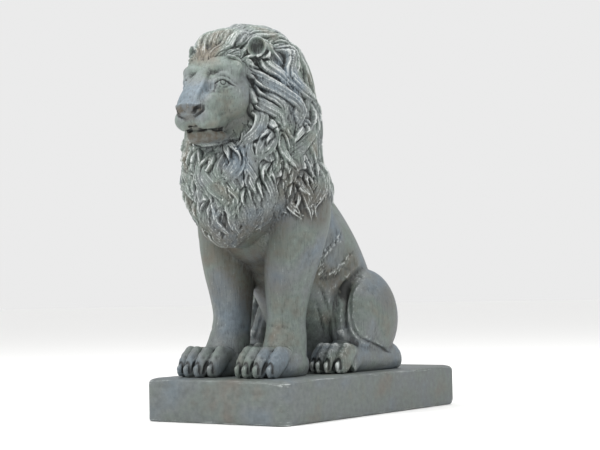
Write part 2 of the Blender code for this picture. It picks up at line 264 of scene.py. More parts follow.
@dataclass
class Body:
    """The trunk, the four legs and the tail."""

    paw_x: float = 64
    hind_x: float = 97
    toe_spread: float = 22.5
    hind_toe_spread: float = 18
    tail_bend: tuple[float, float, float] = (-62, 440, 13)

    def trunk(self, clay: Clay) -> None:
        """Adds the barrel from the chest to the rump, along the sloping spine."""
        clay.limb(
            [
                (0, 40, 268, 44, 40),
                (0, 72, 274, 78, 74),
                (0, 116, 276, 94, 92),
                (0, 166, 262, 99, 104),
                (0, 212, 226, 101, 110),
                (0, 254, 176, 103, 112),
                (0, 284, 124, 102, 110),
                (0, 296, 70, 96, 98),
                (0, 296, 20, 84, 84),
            ]
        )

    def forelegs(self, clay: Clay) -> None:
        """Adds both forelegs, from the shoulder to the wrist."""
        clay.limbs(
            [
                (60, 136, 362, 34, 42),
                (76, 128, 330, 48, 58),
                (81, 120, 280, 51, 60),
                (76, 112, 232, 49, 54),
                (68, 106, 186, 45, 48),
                (62, 104, 140, 38, 41),
                (60, 102, 100, 33, 36),
                (62, 96, 62, 36, 38),
                (64, 84, 24, 40, 42),
                (64, 80, 4, 38, 40),
            ]
        )

    def toes(self, clay: Clay, x: float, y: float, spread: float, length: float) -> None:
        """Adds four knuckled toes in a row about x, the middle two reaching furthest.

        Args:
            clay: what they are added to.
            x: the middle of the row.
            y: the line of the middle tips.
            spread: from one toe to the next.
            length: from the tip back to the root.
        """
        for place in (-1.5, -0.5, 0.5, 1.5):
            back = y + 9 * (abs(place) - 0.5)
            toe_x = x + place * spread
            lean = place * 3.0
            clay.limb(
                [
                    (toe_x - lean, length + back, 32, 9, 12),
                    (toe_x - lean * 0.5, length * 0.62 + back, 37, 12.5, 15),
                    (toe_x, length * 0.3 + back, 28, 13.5, 19),
                    (toe_x, 5 + back, 13, 11.5, 15),
                    (toe_x, -3 + back, 4, 7, 9),
                ],
                sides=20,
            )

    def paws(self, clay: Clay) -> None:
        """Adds both forepaws, each with its short inner digit."""
        for side in (-1, 1):
            clay.egg((self.paw_x * side, 72, 20), (45, 60, 34))
            clay.egg((63 * side, 108, 18), (34, 30, 30))
            self.toes(clay, self.paw_x * side, 0, self.toe_spread, 56)
            clay.limb(
                [
                    (26 * side, 112, 44, 8, 9),
                    (20 * side, 96, 38, 9, 11),
                    (19 * side, 82, 27, 8, 9),
                    (20 * side, 74, 17, 4, 5),
                ],
                sides=16,
            )

    def haunches(self, clay: Clay) -> None:
        """Adds the thighs, the folded shins, the long feet and their toes."""
        clay.eggs((90, 300, 98), (52, 82, 88), (22, 0, 0))
        clay.eggs((98, 254, 94), (41, 46, 70), (-12, 0, 0))
        clay.limbs(
            [
                (92, 376, 4, 26, 20),
                (93, 362, 20, 32, 30),
                (94, 318, 24, 33, 34),
                (95, 274, 26, 33, 34),
                (96, 232, 28, 34, 34),
                (97, 218, 24, 35, 32),
                (97, 204, 10, 34, 26),
            ]
        )
        for side in (-1, 1):
            self.toes(clay, self.hind_x * side, 163, self.hind_toe_spread, 50)

    def claws(self, clay: Clay) -> None:
        """Adds a blunt claw at the tip of every toe."""
        for x, y, spread in ((self.paw_x, 0, self.toe_spread), (self.hind_x, 163, self.hind_toe_spread)):
            for place in (-1.5, -0.5, 0.5, 1.5):
                tip = y + 9 * (abs(place) - 0.5)
                clay.eggs((x + place * spread, tip - 5, 11), (spread * 0.27, 9, 11), (-14, 0, 0))

    def tail(self, clay: Clay) -> None:
        """Adds the tail, which curls on the plinth behind the right haunch, with a tuft at its end."""
        clay.limb(
            [
                (0, 366, 62, 20, 20),
                (-4, 398, 36, 17, 17),
                (-20, 424, 17, 14, 14),
                (-52, 440, 13, 13, 13),
                (-86, 438, 13, 12, 12),
                (-108, 424, 14, 17, 16),
                (-122, 402, 14, 15, 15),
                (-127, 382, 8, 6, 7),
            ],
            sides=20,
        )
        clay.egg(self.tail_bend, (18, 13, 12.8), (0, 0, 0))

    def shape(self, clay: Clay) -> None:
        """Adds the whole body."""
        self.trunk(clay)
        self.forelegs(clay)
        self.paws(clay)
        self.haunches(clay)
        self.claws(clay)
        self.tail(clay)


@dataclass
class Head:
    """The skull, the face's masses and the ears."""

    ear: tuple[float, float, float] = (70, 19, 563)
    ear_radii: tuple[float, float, float] = (17, 13, 18)
    ear_wall: float = 3.8

    def shape(self, clay: Clay) -> None:
        """Adds the head."""
        clay.egg((0, 44, 526), (65, 76, 66))
        clay.egg((0, 25, 566), (52, 45, 31))
        clay.egg((0, -2, 532), (54, 36, 38), (-20, 0, 0))
        clay.eggs((38, 4, 478), (27, 36, 42))
        clay.eggs((39, -17, 490), (25, 21, 14), (0, 20, 0))
        clay.eggs((30, -27, 527), (22, 13, 12), (0, -8, 16))
        clay.eggs((46, -17, 525), (18, 14, 13), (0, -8, 16))
        clay.eggs((35, -19, 510), (24, 17, 20))
        clay.eggs((27, -27, 490), (23, 26, 28))
        clay.limb([(0, -22, 534, 24, 14), (0, -37, 510, 21, 15), (0, -59, 486, 21, 15), (0, -77, 465, 23, 13)])
        clay.egg((0, -30, 448), (42, 50, 34))
        clay.eggs((21, -55, 438), (24, 26, 21))
        clay.egg((0, -81, 455), (27, 13, 15))
        clay.eggs((14, -64, 456), (17, 22, 16), (0, 14, 8))
        clay.eggs((26, -44, 464), (20, 29, 22))
        clay.egg((0, -26, 410), (37, 43, 16))

    def ears(self, clay: Clay) -> None:
        """Adds both ears, open forward and a little outward, with the hair's mass behind them."""
        x, y, z = self.ear
        clay.eggs((x - 5, y + 20, z - 4), (17, 13, 17), (0, 10, 20))
        clay.cup((x, y, z), self.ear_radii, self.ear_wall, (8, 16, 30))
        clay.cup((-x, y, z), self.ear_radii, self.ear_wall, (8, -16, -30))


@dataclass(frozen=True)
class Viewpoint:
    """Where the photograph was taken from, in metres and degrees, and the frame that its pixels count in."""

    at: tuple[float, float, float] = (1.6162, -2.2386, 0.2122)
    azimuth: float = 36.0
    pitch: float = 2.71
    roll: float = -1.16
    lens_mm: float = 90.0
    sensor_mm: float = 36.0
    frame_width: float = 600
    frame_height: float = 450

    def axes(self) -> tuple[Vector, Vector, Vector]:
        """Returns the view's right, up and forward directions."""
        turn, tip, roll = (math.radians(a) for a in (self.azimuth, self.pitch, self.roll))
        level = Vector((-math.sin(turn), math.cos(turn), 0))
        right = Vector((math.cos(turn), math.sin(turn), 0))
        ahead = level * math.cos(tip) + Vector((0, 0, math.sin(tip)))
        up = Vector((0, 0, math.cos(tip))) - level * math.sin(tip)
        return right * math.cos(roll) + up * math.sin(roll), up * math.cos(roll) - right * math.sin(roll), ahead

    def ray(self, pixel: tuple[float, float]) -> Vector:
        """Returns the direction that a pixel of the photograph looks in."""
        right, up, ahead = self.axes()
        scale = self.sensor_mm / self.lens_mm / self.frame_width
        across = (pixel[0] - self.frame_width / 2) * scale
        down = (pixel[1] - self.frame_height / 2) * scale
        return (ahead + right * across - up * down).normalized()


class Bed:
    """A smooth surface in parts that routes are laid on."""

    def __init__(self, made: bpy.types.Object, stand: Vector) -> None:
        """Reads the surface.

        Args:
            made: the object whose mesh is the surface.
            stand: where the parts' origin is in the frame, in metres.
        """
        skin = bmesh.new()
        skin.from_mesh(made.data)
        self.tree = BVHTree.FromBMesh(skin)
        skin.free()
        self.stand = stand
        self.eye = (Vector(Viewpoint().at) - stand) / PART
        self.middle = (0, 98, 440)

    def nearest(self, spot: Vector) -> tuple[Vector, Vector]:
        """Returns the surface's nearest point and its normal there."""
        return self.tree.find_nearest(spot)[:2]

    def seen(self, pixel: tuple[float, float]) -> Vector:
        """Returns the point of the surface that shows at a pixel of the photograph, or is nearest to it."""
        ray = Viewpoint().ray(pixel)
        hit = self.tree.ray_cast(self.eye, ray)[0]
        if hit is None:
            abreast = self.eye + ray * (Vector(self.middle) - self.eye).dot(ray)
            hit = self.tree.find_nearest(abreast)[0]
        return hit


@dataclass(frozen=True)
class LockStyle:
    """How a lock is carved: its sizes in parts, its strands and its wave."""

    length: float = 130
    width: float = 30
    thick: float = 5
    rise: float = 4
    swing: float = 0.45
    strand: float = 5.0
    groove: float = 2.6
    lean: float = 0.0
    moat: float = 0.0
    rim: float = 0.15


class Hair(Enum):
    """The kinds of hair: ranges of length, width, rise and swing, then the thickness and a strand's width."""

    NECK = ((100, 150), (17, 30), (2, 5.5), (0.45, 0.8), 5.0, 4.6)
    WISP = ((90, 150), (7, 11), (2, 6), (0.5, 0.85), 3.0, 4.0)
    TEMPLE = ((95, 130), (16, 25), (3, 6), (0.4, 0.6), 5.5, 5.0)
    CROWN = ((66, 92), (11, 17), (2, 5), (0.3, 0.5), 4.5, 4.5)
    FRINGE = ((62, 96), (8, 13), (2, 5), (0.25, 0.5), 4.0, 4.2)
    CHIN = ((14, 20), (6, 9), (0.5, 1.5), (0.3, 0.7), 1.6, 3.0)

    def style(self, dice: random.Random, lean: float = 0.0) -> LockStyle:
        """Draws one lock's sizes.

        Args:
            dice: the source of chance.
            lean: which edge stands up, from -1 to 1.

        Returns:
            The lock's style.
        """
        length, width, rise, swing, thick, strand = self.value
        return LockStyle(
            length=dice.uniform(*length),
            width=dice.uniform(*width),
            rise=dice.uniform(*rise),
            swing=dice.uniform(*swing),
            thick=thick,
            strand=strand,
            groove=min(2.6, strand / 2),
            lean=lean,
        )


@dataclass(frozen=True)
class Traced:
    """A lock whose ridge is traced over the photograph, in its pixels."""

    route: tuple[tuple[float, float], ...]
    width: float = 20
    rise: float = 8
    lean: float = 0.6


class Relief:
    """Heights carved over a skin, lock over lock, before they move it."""

    def __init__(self, points: np.ndarray, normals: np.ndarray) -> None:
        """Starts level.

        Args:
            points: the skin's points.
            normals: their normals.
        """
        self.points = points
        self.normals = normals
        keys = self.keys(points)
        self.order = np.argsort(keys)
        self.sorted_keys = keys[self.order]
        self.free = np.ones(len(points))
        self.height = np.zeros(len(points))
        self.strand = np.zeros(len(points))
        self.hair = np.zeros(len(points))

    def keys(self, places: np.ndarray) -> np.ndarray:
        """Returns the number of the cell that each place lies in."""
        return (np.floor(places / CELL).astype(np.int64) + 500) @ np.array((1, 1000, 1000000))

    def around(self, spots: np.ndarray, reach: float) -> np.ndarray:
        """Returns the points in the cells within reach of a route's places, by their numbers."""
        steps = np.arange(-math.ceil(reach / CELL), math.ceil(reach / CELL) + 1)
        moves = (steps[:, None, None] + 1000 * steps[None, :, None] + 1000000 * steps[None, None, :]).ravel()
        cells = np.unique(self.keys(spots)[:, None] + moves)
        starts = np.searchsorted(self.sorted_keys, cells, "left")
        ends = np.searchsorted(self.sorted_keys, cells, "right")
        full = ends > starts
        parts = [self.order[start:end] for start, end in zip(starts[full], ends[full])]
        return np.concatenate(parts) if parts else np.empty(0, dtype=np.int64)

    def spare(self, centre: Vector, inner: float, outer: float) -> None:
        """Keeps hair off a round place, wholly within inner and less and less out to outer."""
        far = np.linalg.norm(self.points - np.array(centre), axis=1)
        self.free = np.minimum(self.free, np.clip((far - inner) / (outer - inner), 0, 1))

    def lock(self, path: list[tuple[Vector, Vector]], style: LockStyle, dice: random.Random) -> None:
        """Carves one lock over what is there: a ribbon with raised edges and strands that ends in a point.

        Args:
            path: the places along it, each with the bed's normal there.
            style: its sizes.
            dice: the source of its small chances.
        """
        spots = np.array([tuple(p) for p, _ in path])
        ups = np.array([tuple(n) for _, n in path])
        near = self.around(spots, style.width * (0.75 if style.moat else 0.65) + 3)
        if not len(near) or len(spots) < 3:
            return
        places = self.points[near]
        best = np.full(len(near), 1e9)
        where, side, ground = np.zeros(len(near)), np.zeros(len(near)), np.zeros(len(near))
        facing = np.zeros(len(near))
        spans = len(spots) - 1
        grounds = self.grounds(spots, near)
        for i in range(spans):
            run = spots[i + 1] - spots[i]
            across = np.cross(run, ups[i])
            across /= max(1e-9, np.linalg.norm(across))
            share = np.clip(((places - spots[i]) @ run) / max(1e-9, run @ run), 0, 1)
            gap = places - spots[i] - share[:, None] * run
            far = np.linalg.norm(gap, axis=1)
            nearer = far < best
            best[nearer] = far[nearer]
            where[nearer] = ((i + share) / spans)[nearer]
            side[nearer] = (gap @ across)[nearer]
            ground[nearer] = (grounds[i] * (1 - share) + grounds[i + 1] * share)[nearer]
            facing[nearer] = (self.normals[near] @ ups[i])[nearer]
        leaf = np.clip(where / 0.2, 0, 1) ** 0.6 * np.clip(1 - where**2.6, 0, 1) ** 0.85
        half = np.maximum(0.6, style.width * 0.5 * leaf)
        u = side / half
        if style.moat:
            beyond = (np.abs(u) >= 1) & (best < half * 1.5) & (facing > 0.3)
            depth = style.moat * np.clip(1.5 - np.abs(u[beyond]), 0, 0.5) * 2 * np.sqrt(leaf[beyond])
            self.height[near[beyond]] -= depth * self.free[near[beyond]]
        held = (np.abs(u) < 1) & (best < half * 1.3 + 3) & (facing > 0.1)
        u, t, leaf = u[held], where[held], leaf[held]
        wobble = 0.6 * np.sin(5 * t + dice.uniform(0, 6))
        strands = max(2, round(style.width / style.strand))
        place = strands * (u + 1) / 2 + wobble * (1 - np.abs(u)) / np.pi
        comb = np.abs(np.sin(np.pi * place))
        levels = np.array([dice.uniform(-0.5, 0.5) for _ in range(strands + 2)])
        stagger = levels[np.clip(np.floor(place).astype(int), 0, strands + 1)]
        body = 0.6 + 0.36 * style.lean * u - 0.16 * u * u
        body += style.rim * np.exp(-(((u * np.sign(style.lean) - 0.86) / 0.12) ** 2))
        edge = np.clip((1 - np.abs(u)) / 0.22, 0, 1) ** 0.6
        lift = style.rise * np.clip(t / 0.4, 0, 1) ** 0.8 * (1 - 0.35 * t**3) - 2.5 * (1 - t) ** 4
        grain = style.groove * (comb**0.7 * (1 + 0.9 * stagger) - 0.6) * np.sqrt(leaf)
        body *= np.clip(t / 0.22, 0, 1) ** 0.8
        made = ground[held] + lift + style.thick * body * edge * np.sqrt(leaf) + grain
        spot = near[held]
        self.height[spot] = made * self.free[spot]
        self.strand[spot] = u * half[held]
        self.hair[spot] = self.free[spot]

    def grounds(self, spots: np.ndarray, near: np.ndarray) -> np.ndarray:
        """Returns half of what is carved so far along a route, evened out along it."""
        levels = np.zeros(len(spots))
        for i, spot in enumerate(spots):
            close = near[np.sum((self.points[near] - spot) ** 2, axis=1) < 64]
            levels[i] = self.height[close].mean() if len(close) else 0.0
        for _ in range(3):
            levels[1:-1] = (levels[:-2] + levels[1:-1] * 2 + levels[2:]) / 4
        return levels * 0.45


@dataclass
class Mane:
    """The mane: its bulk, and locks laid over the bulk and the head along the way the hair lies."""

    seed: int = 7
    neck_rows: int = 7
    row_locks: int = 24
    overrun: int = 3
    face: tuple[float, float, float] = (0, -30, 490)
    hairline: tuple = ((207, 58), (215, 56), (223, 55), (231, 55.5), (237, 57), (243, 61))
    dice: random.Random = field(init=False)

    def __post_init__(self) -> None:
        """Seeds the dice."""
        self.dice = random.Random(self.seed)

    def bulk(self, clay: Clay) -> None:
        """Adds the mass under the locks."""
        clay.slices(
            [
                (0, 86, 606, 30, 36),
                (0, 87, 595, 55, 61),
                (0, 90, 569, 75, 82),
                (0, 97, 534, 89, 94),
                (0, 101, 495, 99, 103),
                (0, 101, 450, 105, 110),
                (0, 98, 405, 110, 119),
                (0, 94, 360, 112, 124),
                (0, 90, 322, 107, 121),
                (0, 80, 288, 92, 106),
                (0, 60, 260, 66, 78),
                (0, 42, 238, 40, 50),
                (0, 32, 224, 18, 26),
            ]
        )

    def combed(self, point: Vector, normal: Vector) -> Vector:
        """The way the hair lies: away from the face, up over the crown, and down elsewhere."""
        away = point - Vector(self.face)
        reach = away.length
        crown = ramp(point.z, 545, 585) * ramp(point.y, 130, 70)
        flow = away.normalized() * max(0.1, 1.3 - reach / 150 + 0.6 * crown)
        flow += Vector((0, 0.5 * crown, -min(1.3, reach / 120) * (1 - crown)))
        flow -= normal * flow.dot(normal)
        return flow.normalized()

    def walk(self, bed: Bed, root: Vector, style: LockStyle, phase: float) -> list[tuple[Vector, Vector]]:
        """Walks over the bed from a root in a wave.

        Args:
            bed: the surface.
            root: where the lock starts, near the bed.
            style: the lock's sizes.
            phase: where in its wave it starts, in radians.

        Returns:
            The places along the lock, each with the bed's normal there.
        """
        steps = self.steps(style)
        point, normal = bed.nearest(root)
        path = []
        for step in range(steps + 1):
            if point.z < self.hem(point):
                break
            path.append((point, normal.copy()))
            turn = style.swing * math.cos(2 * math.pi * 1.3 * step / steps + phase)
            flow = Matrix.Rotation(turn, 3, normal) @ self.combed(point, normal)
            point, normal = bed.nearest(point + flow * style.length / steps)
        return path

    def steps(self, style: LockStyle) -> int:
        """Returns in how many steps a lock is walked."""
        return max(5, round(style.length / 6))

    def hem(self, spot: Vector) -> float:
        """How low the mane hangs at a place: to a point on the chest, and less far at the sides and back."""
        angle = abs(math.atan2(spot.x, 98 - spot.y))
        return 214 + 86 * min(1.0, angle / 1.7) + 5 * math.sin(23 * angle)

    def wave(self, root: Vector) -> float:
        """The phase that hair in one neighbourhood shares, so that it lies side by side."""
        angle = math.atan2(root.x, 98 - root.y)
        return 1.6 * math.sin(2.3 * angle + 0.011 * root.z) + 0.9 * math.sin(0.023 * root.z + 1.3 * angle)

    def neck(self, bed: Bed) -> list[tuple[Vector, LockStyle, float]]:
        """Scatters roots in rows round the neck and chest, each with wisps beside it, the lowest row first."""
        dice = self.dice
        made = []
        for row in range(self.neck_rows):
            for k in range(self.row_locks):
                a = 2 * math.pi * (k + 0.5 * (row % 2) + dice.uniform(-0.25, 0.25)) / self.row_locks
                level = 286 + row * 43 + dice.uniform(-18, 18)
                root = bed.nearest(Vector((150 * math.sin(a), 98 - 150 * math.cos(a), level)))[0]
                if self.on_face(root) or root.z < self.hem(root) + 30:
                    continue
                lean, phase = dice.choice((-0.7, 0.7)), self.wave(root)
                made.append((root, Hair.NECK.style(dice, lean), phase))
                for _ in range(2):
                    aside = Vector([dice.uniform(-12, 12) for _ in range(3)])
                    made.append((root + aside, Hair.WISP.style(dice, lean), phase + dice.uniform(-0.5, 0.5)))
        return made

    def temples(self) -> list[tuple[Vector, LockStyle, float]]:
        """Scatters roots in rings round the face, the outer ring first."""
        dice = self.dice
        made = []
        for ring, (half_width, back, half_height) in enumerate(((104, 64, 114), (88, 38, 100), (72, 18, 84))):
            for k in range(17):
                a = math.radians(62 + 236 * (k + 0.5 * (ring % 2) + 0.25) / 17)
                side = abs(math.sin(a))
                root = Vector(
                    (half_width * math.sin(a), back * side - 30 * (1 - side), 488 + half_height * math.cos(a))
                )
                for kind in (Hair.TEMPLE, Hair.WISP):
                    style = kind.style(dice, math.copysign(0.6, root.x))
                    made.append((root, style, math.copysign(1.2, root.x) + dice.uniform(-0.4, 0.4)))
        return made

    def crown(self, bed: Bed) -> list[tuple[Vector, LockStyle, float]]:
        """Scatters roots in arcs over the crown, the hindmost first, and along the hairline of the brow."""
        dice = self.dice
        made = []
        for ring, (back, high) in enumerate(((150, 556), (128, 588), (96, 604), (64, 612), (34, 606), (10, 592))):
            count = 10 + ring
            for k in range(count):
                side = math.sin(math.radians(80) * ((k + 0.5) / count * 2 - 1))
                root = Vector((side * 74, back + 26 * side * side, high - 22 * side * side))
                made.append((root, Hair.CROWN.style(dice), self.wave(root) * 2))
        line = [bed.seen(pixel) for pixel in smooth_path(list(self.hairline), 4)]
        line = [flipped(spot) for spot in line[::-1]] + line
        for up in (20, 0):
            for spot in line:
                root = spot + Vector((dice.uniform(-3, 3), up * 0.4, up))
                made.append((root, Hair.FRINGE.style(dice), 3 * math.sin(0.09 * spot.x + up)))
        return made

    def beard(self, bed: Bed) -> list[tuple[Vector, LockStyle, float]]:
        """Scatters the roots of the short hair on the chin."""
        dice = self.dice
        made = []
        for row in (146, 144):
            for column in range(188, 224, 3):
                spot = bed.seen((column + dice.uniform(-1, 1), row + dice.uniform(-1, 1)))
                for root in (spot, flipped(spot)):
                    made.append((root, Hair.CHIN.style(dice), dice.uniform(0, 6)))
        return made

    def on_face(self, spot: Vector) -> bool:
        """Whether a place belongs to the bare face."""
        return abs(spot.x) < 66 and spot.y < 26 and spot.z > 398

    def traced(self) -> tuple[Traced, ...]:
        """The locks that stand out in the photograph, the lower ones first."""
        return (
            Traced(((279.4, 177), (277, 186), (279, 197), (284, 208)), 18, 6, -0.6),
            Traced(((292, 182), (289, 192), (289.5, 202.5), (296.6, 212)), 20, 8, 0.6),
            Traced(((304, 170), (300, 182), (306, 194.7), (311, 210)), 24, 8, -0.6),
            Traced(((259, 176), (262, 188), (267, 202), (266, 216)), 18, 7, 0.6),
            Traced(((245, 186), (246, 198), (251, 210), (252, 226)), 18, 7, -0.6),
            Traced(((211, 200), (207, 212), (209, 225), (218, 236)), 20, 4, 0.6),
            Traced(((196, 200), (197, 210), (202, 220), (208, 229)), 18, 3, 0.6),
            Traced(((314, 160), (318, 172), (320, 188), (314, 203)), 26, 8, -0.6),
            Traced(((281, 130), (281, 146), (284, 158), (293, 168)), 22, 10, 0.8),
            Traced(((262, 160), (266, 174), (271.6, 190), (272, 203)), 20, 9, 0.7),
            Traced(((240, 140), (239, 156), (240, 166), (232, 177)), 22, 9, 0.7),
            Traced(((213, 150), (211, 163), (206, 174), (213, 186), (223, 196)), 24, 9, -0.7),
            Traced(((198, 148), (200, 163), (201, 179), (208, 192)), 22, 8, 0.7),
            Traced(((184, 136), (180, 148), (183, 160), (190, 169)), 18, 8, 0.7),
            Traced(((224, 141), (232, 151), (236, 162), (232, 172), (224, 180)), 22, 10, 0.8),
            Traced(((178, 172), (181, 181), (189, 187), (194, 196)), 18, 8, 0.7),
            Traced(((301, 118), (306, 132), (300, 146), (290, 156)), 26, 9, 0.7),
            Traced(((311, 99), (312, 113), (311, 127), (304, 141)), 24, 10, -0.7),
            Traced(((310, 96), (317, 110), (323, 125), (320, 138)), 26, 9, 0.6),
            Traced(((271, 45), (281, 47), (288, 54), (291, 64), (289, 76), (297, 87), (308, 97)), 30, 11, 0.8),
            Traced(((288, 37), (297, 47), (304, 60), (310, 77), (314, 92)), 26, 10, 0.7),
            Traced(((281, 134), (281, 152), (286, 160), (293, 168)), 14, 9, 0.7),
            Traced(((262, 118), (268, 130), (270, 142), (263, 153)), 26, 10, -0.8),
            Traced(((309, 101), (311, 117), (309, 132), (301, 143), (292, 150)), 24, 9, 0.8),
            Traced(((302, 127), (295, 136), (290, 144)), 12, 10, 0.6),
            Traced(((285, 95), (295, 103), (300, 111), (298, 122)), 18, 10, 0.9),
            Traced(((271, 163), (264, 173), (268, 185), (273, 198)), 16, 9, 0.7),
            Traced(((272, 131), (263, 141), (259, 154)), 18, 10, 0.7),
            Traced(((295, 176), (300, 188), (309, 197)), 14, 8, 0.7),
            Traced(((273, 49), (287, 51), (291, 60), (290, 77), (301, 88), (311, 98)), 16, 11, 0.9),
            Traced(((251, 98), (255, 108), (260, 114), (261, 122), (256, 133), (244, 143)), 26, 11, 0.8),
            Traced(((250, 86), (255, 98), (261, 105), (270, 111), (279, 117), (282, 127)), 24, 11, 0.9),
            Traced(((253, 79), (260, 89), (268, 95), (276, 101), (282, 108), (283, 117)), 20, 11, 0.9),
            Traced(((247, 66), (252, 74), (261, 81), (271, 87), (282, 94), (294, 103), (299, 113), (296, 123)), 24, 13, 0.9),
            Traced(((240, 60), (247, 53), (256, 52), (262, 60), (268, 68), (277, 74), (286, 83)), 26, 14, 0.9),
        )

    def fur(self) -> tuple[Traced, ...]:
        """The small tufts along the flank behind the elbow, as the photograph shows them."""
        dice = self.dice
        line = smooth_path([(342, 232), (334, 244), (325, 255), (322, 266), (330, 272), (341, 266), (353, 254)], 5)
        made = []
        for across, down in line:
            x, y = across + dice.uniform(-2, 2), down + dice.uniform(-3, 3)
            tip = (x - dice.uniform(2, 6), y + dice.uniform(5, 9))
            middle = ((x + tip[0]) / 2 + dice.uniform(-2, 2), (y + tip[1]) / 2)
            made.append(Traced(((x, y), middle, tip), dice.uniform(5, 8), dice.uniform(0.5, 1.6), 0.0))
        return tuple(made)

    def beside(self, bed: Bed, path: list, shift: float, begin: int, curl: float) -> list[tuple[Vector, Vector]]:
        """Runs a route beside another one and on past its end.

        Args:
            bed: the surface.
            path: the other route.
            shift: how far to its side.
            begin: how many of its places are left out at the root.
            curl: how far the end turns at each of its added places, in radians.

        Returns:
            The places along the new route, each with the bed's normal there.
        """
        spots = [spot for spot, _ in path[begin:]]
        run = spots[-1] - spots[-2]
        for _ in range(self.overrun):
            run = Matrix.Rotation(curl, 3, path[-1][1]) @ run
            spots.append(spots[-1] + run)
        made = []
        for i, spot in enumerate(spots):
            ahead = spots[min(i + 1, len(spots) - 1)] - spots[max(i - 1, 0)]
            across = ahead.cross(bed.nearest(spot)[1]).normalized()
            made.append(bed.nearest(spot + across * shift * math.sin(math.pi * (i + 1) / (len(spots) + 1)) ** 0.7))
        return made

    def bundle(self, relief: Relief, bed: Bed, lock: Traced) -> None:
        """Carves a traced lock as a ribbon with loose strands over it, on both sides where it is off the middle.

        Args:
            relief: what is carved.
            bed: the surface that the lock lies on.
            lock: the lock.
        """
        dice = self.dice
        path = [bed.nearest(bed.seen(pixel)) for pixel in smooth_path(list(lock.route), 4)]
        style = LockStyle(width=lock.width, rise=lock.rise, lean=lock.lean)
        style = replace(style, thick=0.24 * lock.width, strand=3.8, groove=1.5, rim=0.5, moat=3 if lock.width > 15 else 0)
        made = [(path, style)]
        if lock.width > 15:
            for share in (-0.27, 0.0, 0.27):
                strand = LockStyle(
                    width=lock.width * dice.uniform(0.26, 0.4),
                    rise=lock.rise * dice.uniform(0.5, 0.65),
                    thick=1.6,
                    strand=3.6,
                    groove=1.2,
                    rim=0.6,
                    lean=lock.lean,
                )
                beside = self.beside(bed, path, share * lock.width, dice.randint(1, 4), dice.uniform(-0.25, 0.25))
                made.append((beside, strand))
        for route, shape in made:
            relief.lock(route, shape, dice)
            if all(spot.x > 30 for spot, _ in path):
                relief.lock([(flipped(spot), flipped(up)) for spot, up in route], shape, dice)

    def carve(self, relief: Relief, bed: Bed) -> None:
        """Carves every lock.

        Args:
            relief: what is carved.
            bed: the surface that the locks lie on.
        """
        for root, style, phase in self.neck(bed) + self.crown(bed) + self.temples() + self.beard(bed):
            path = self.walk(bed, root, style, phase)
            if len(path) > 3 and (path[-1][0] - path[0][0]).length > 0.4 * len(path) / self.steps(style) * style.length:
                relief.lock(path, style, self.dice)
        for lock in self.traced() + self.fur():
            self.bundle(relief, bed, lock)


def flipped(vector: Vector) -> Vector:
    """Returns a vector mirrored to the other side of the lion."""
    return Vector((-vector.x, vector.y, vector.z))


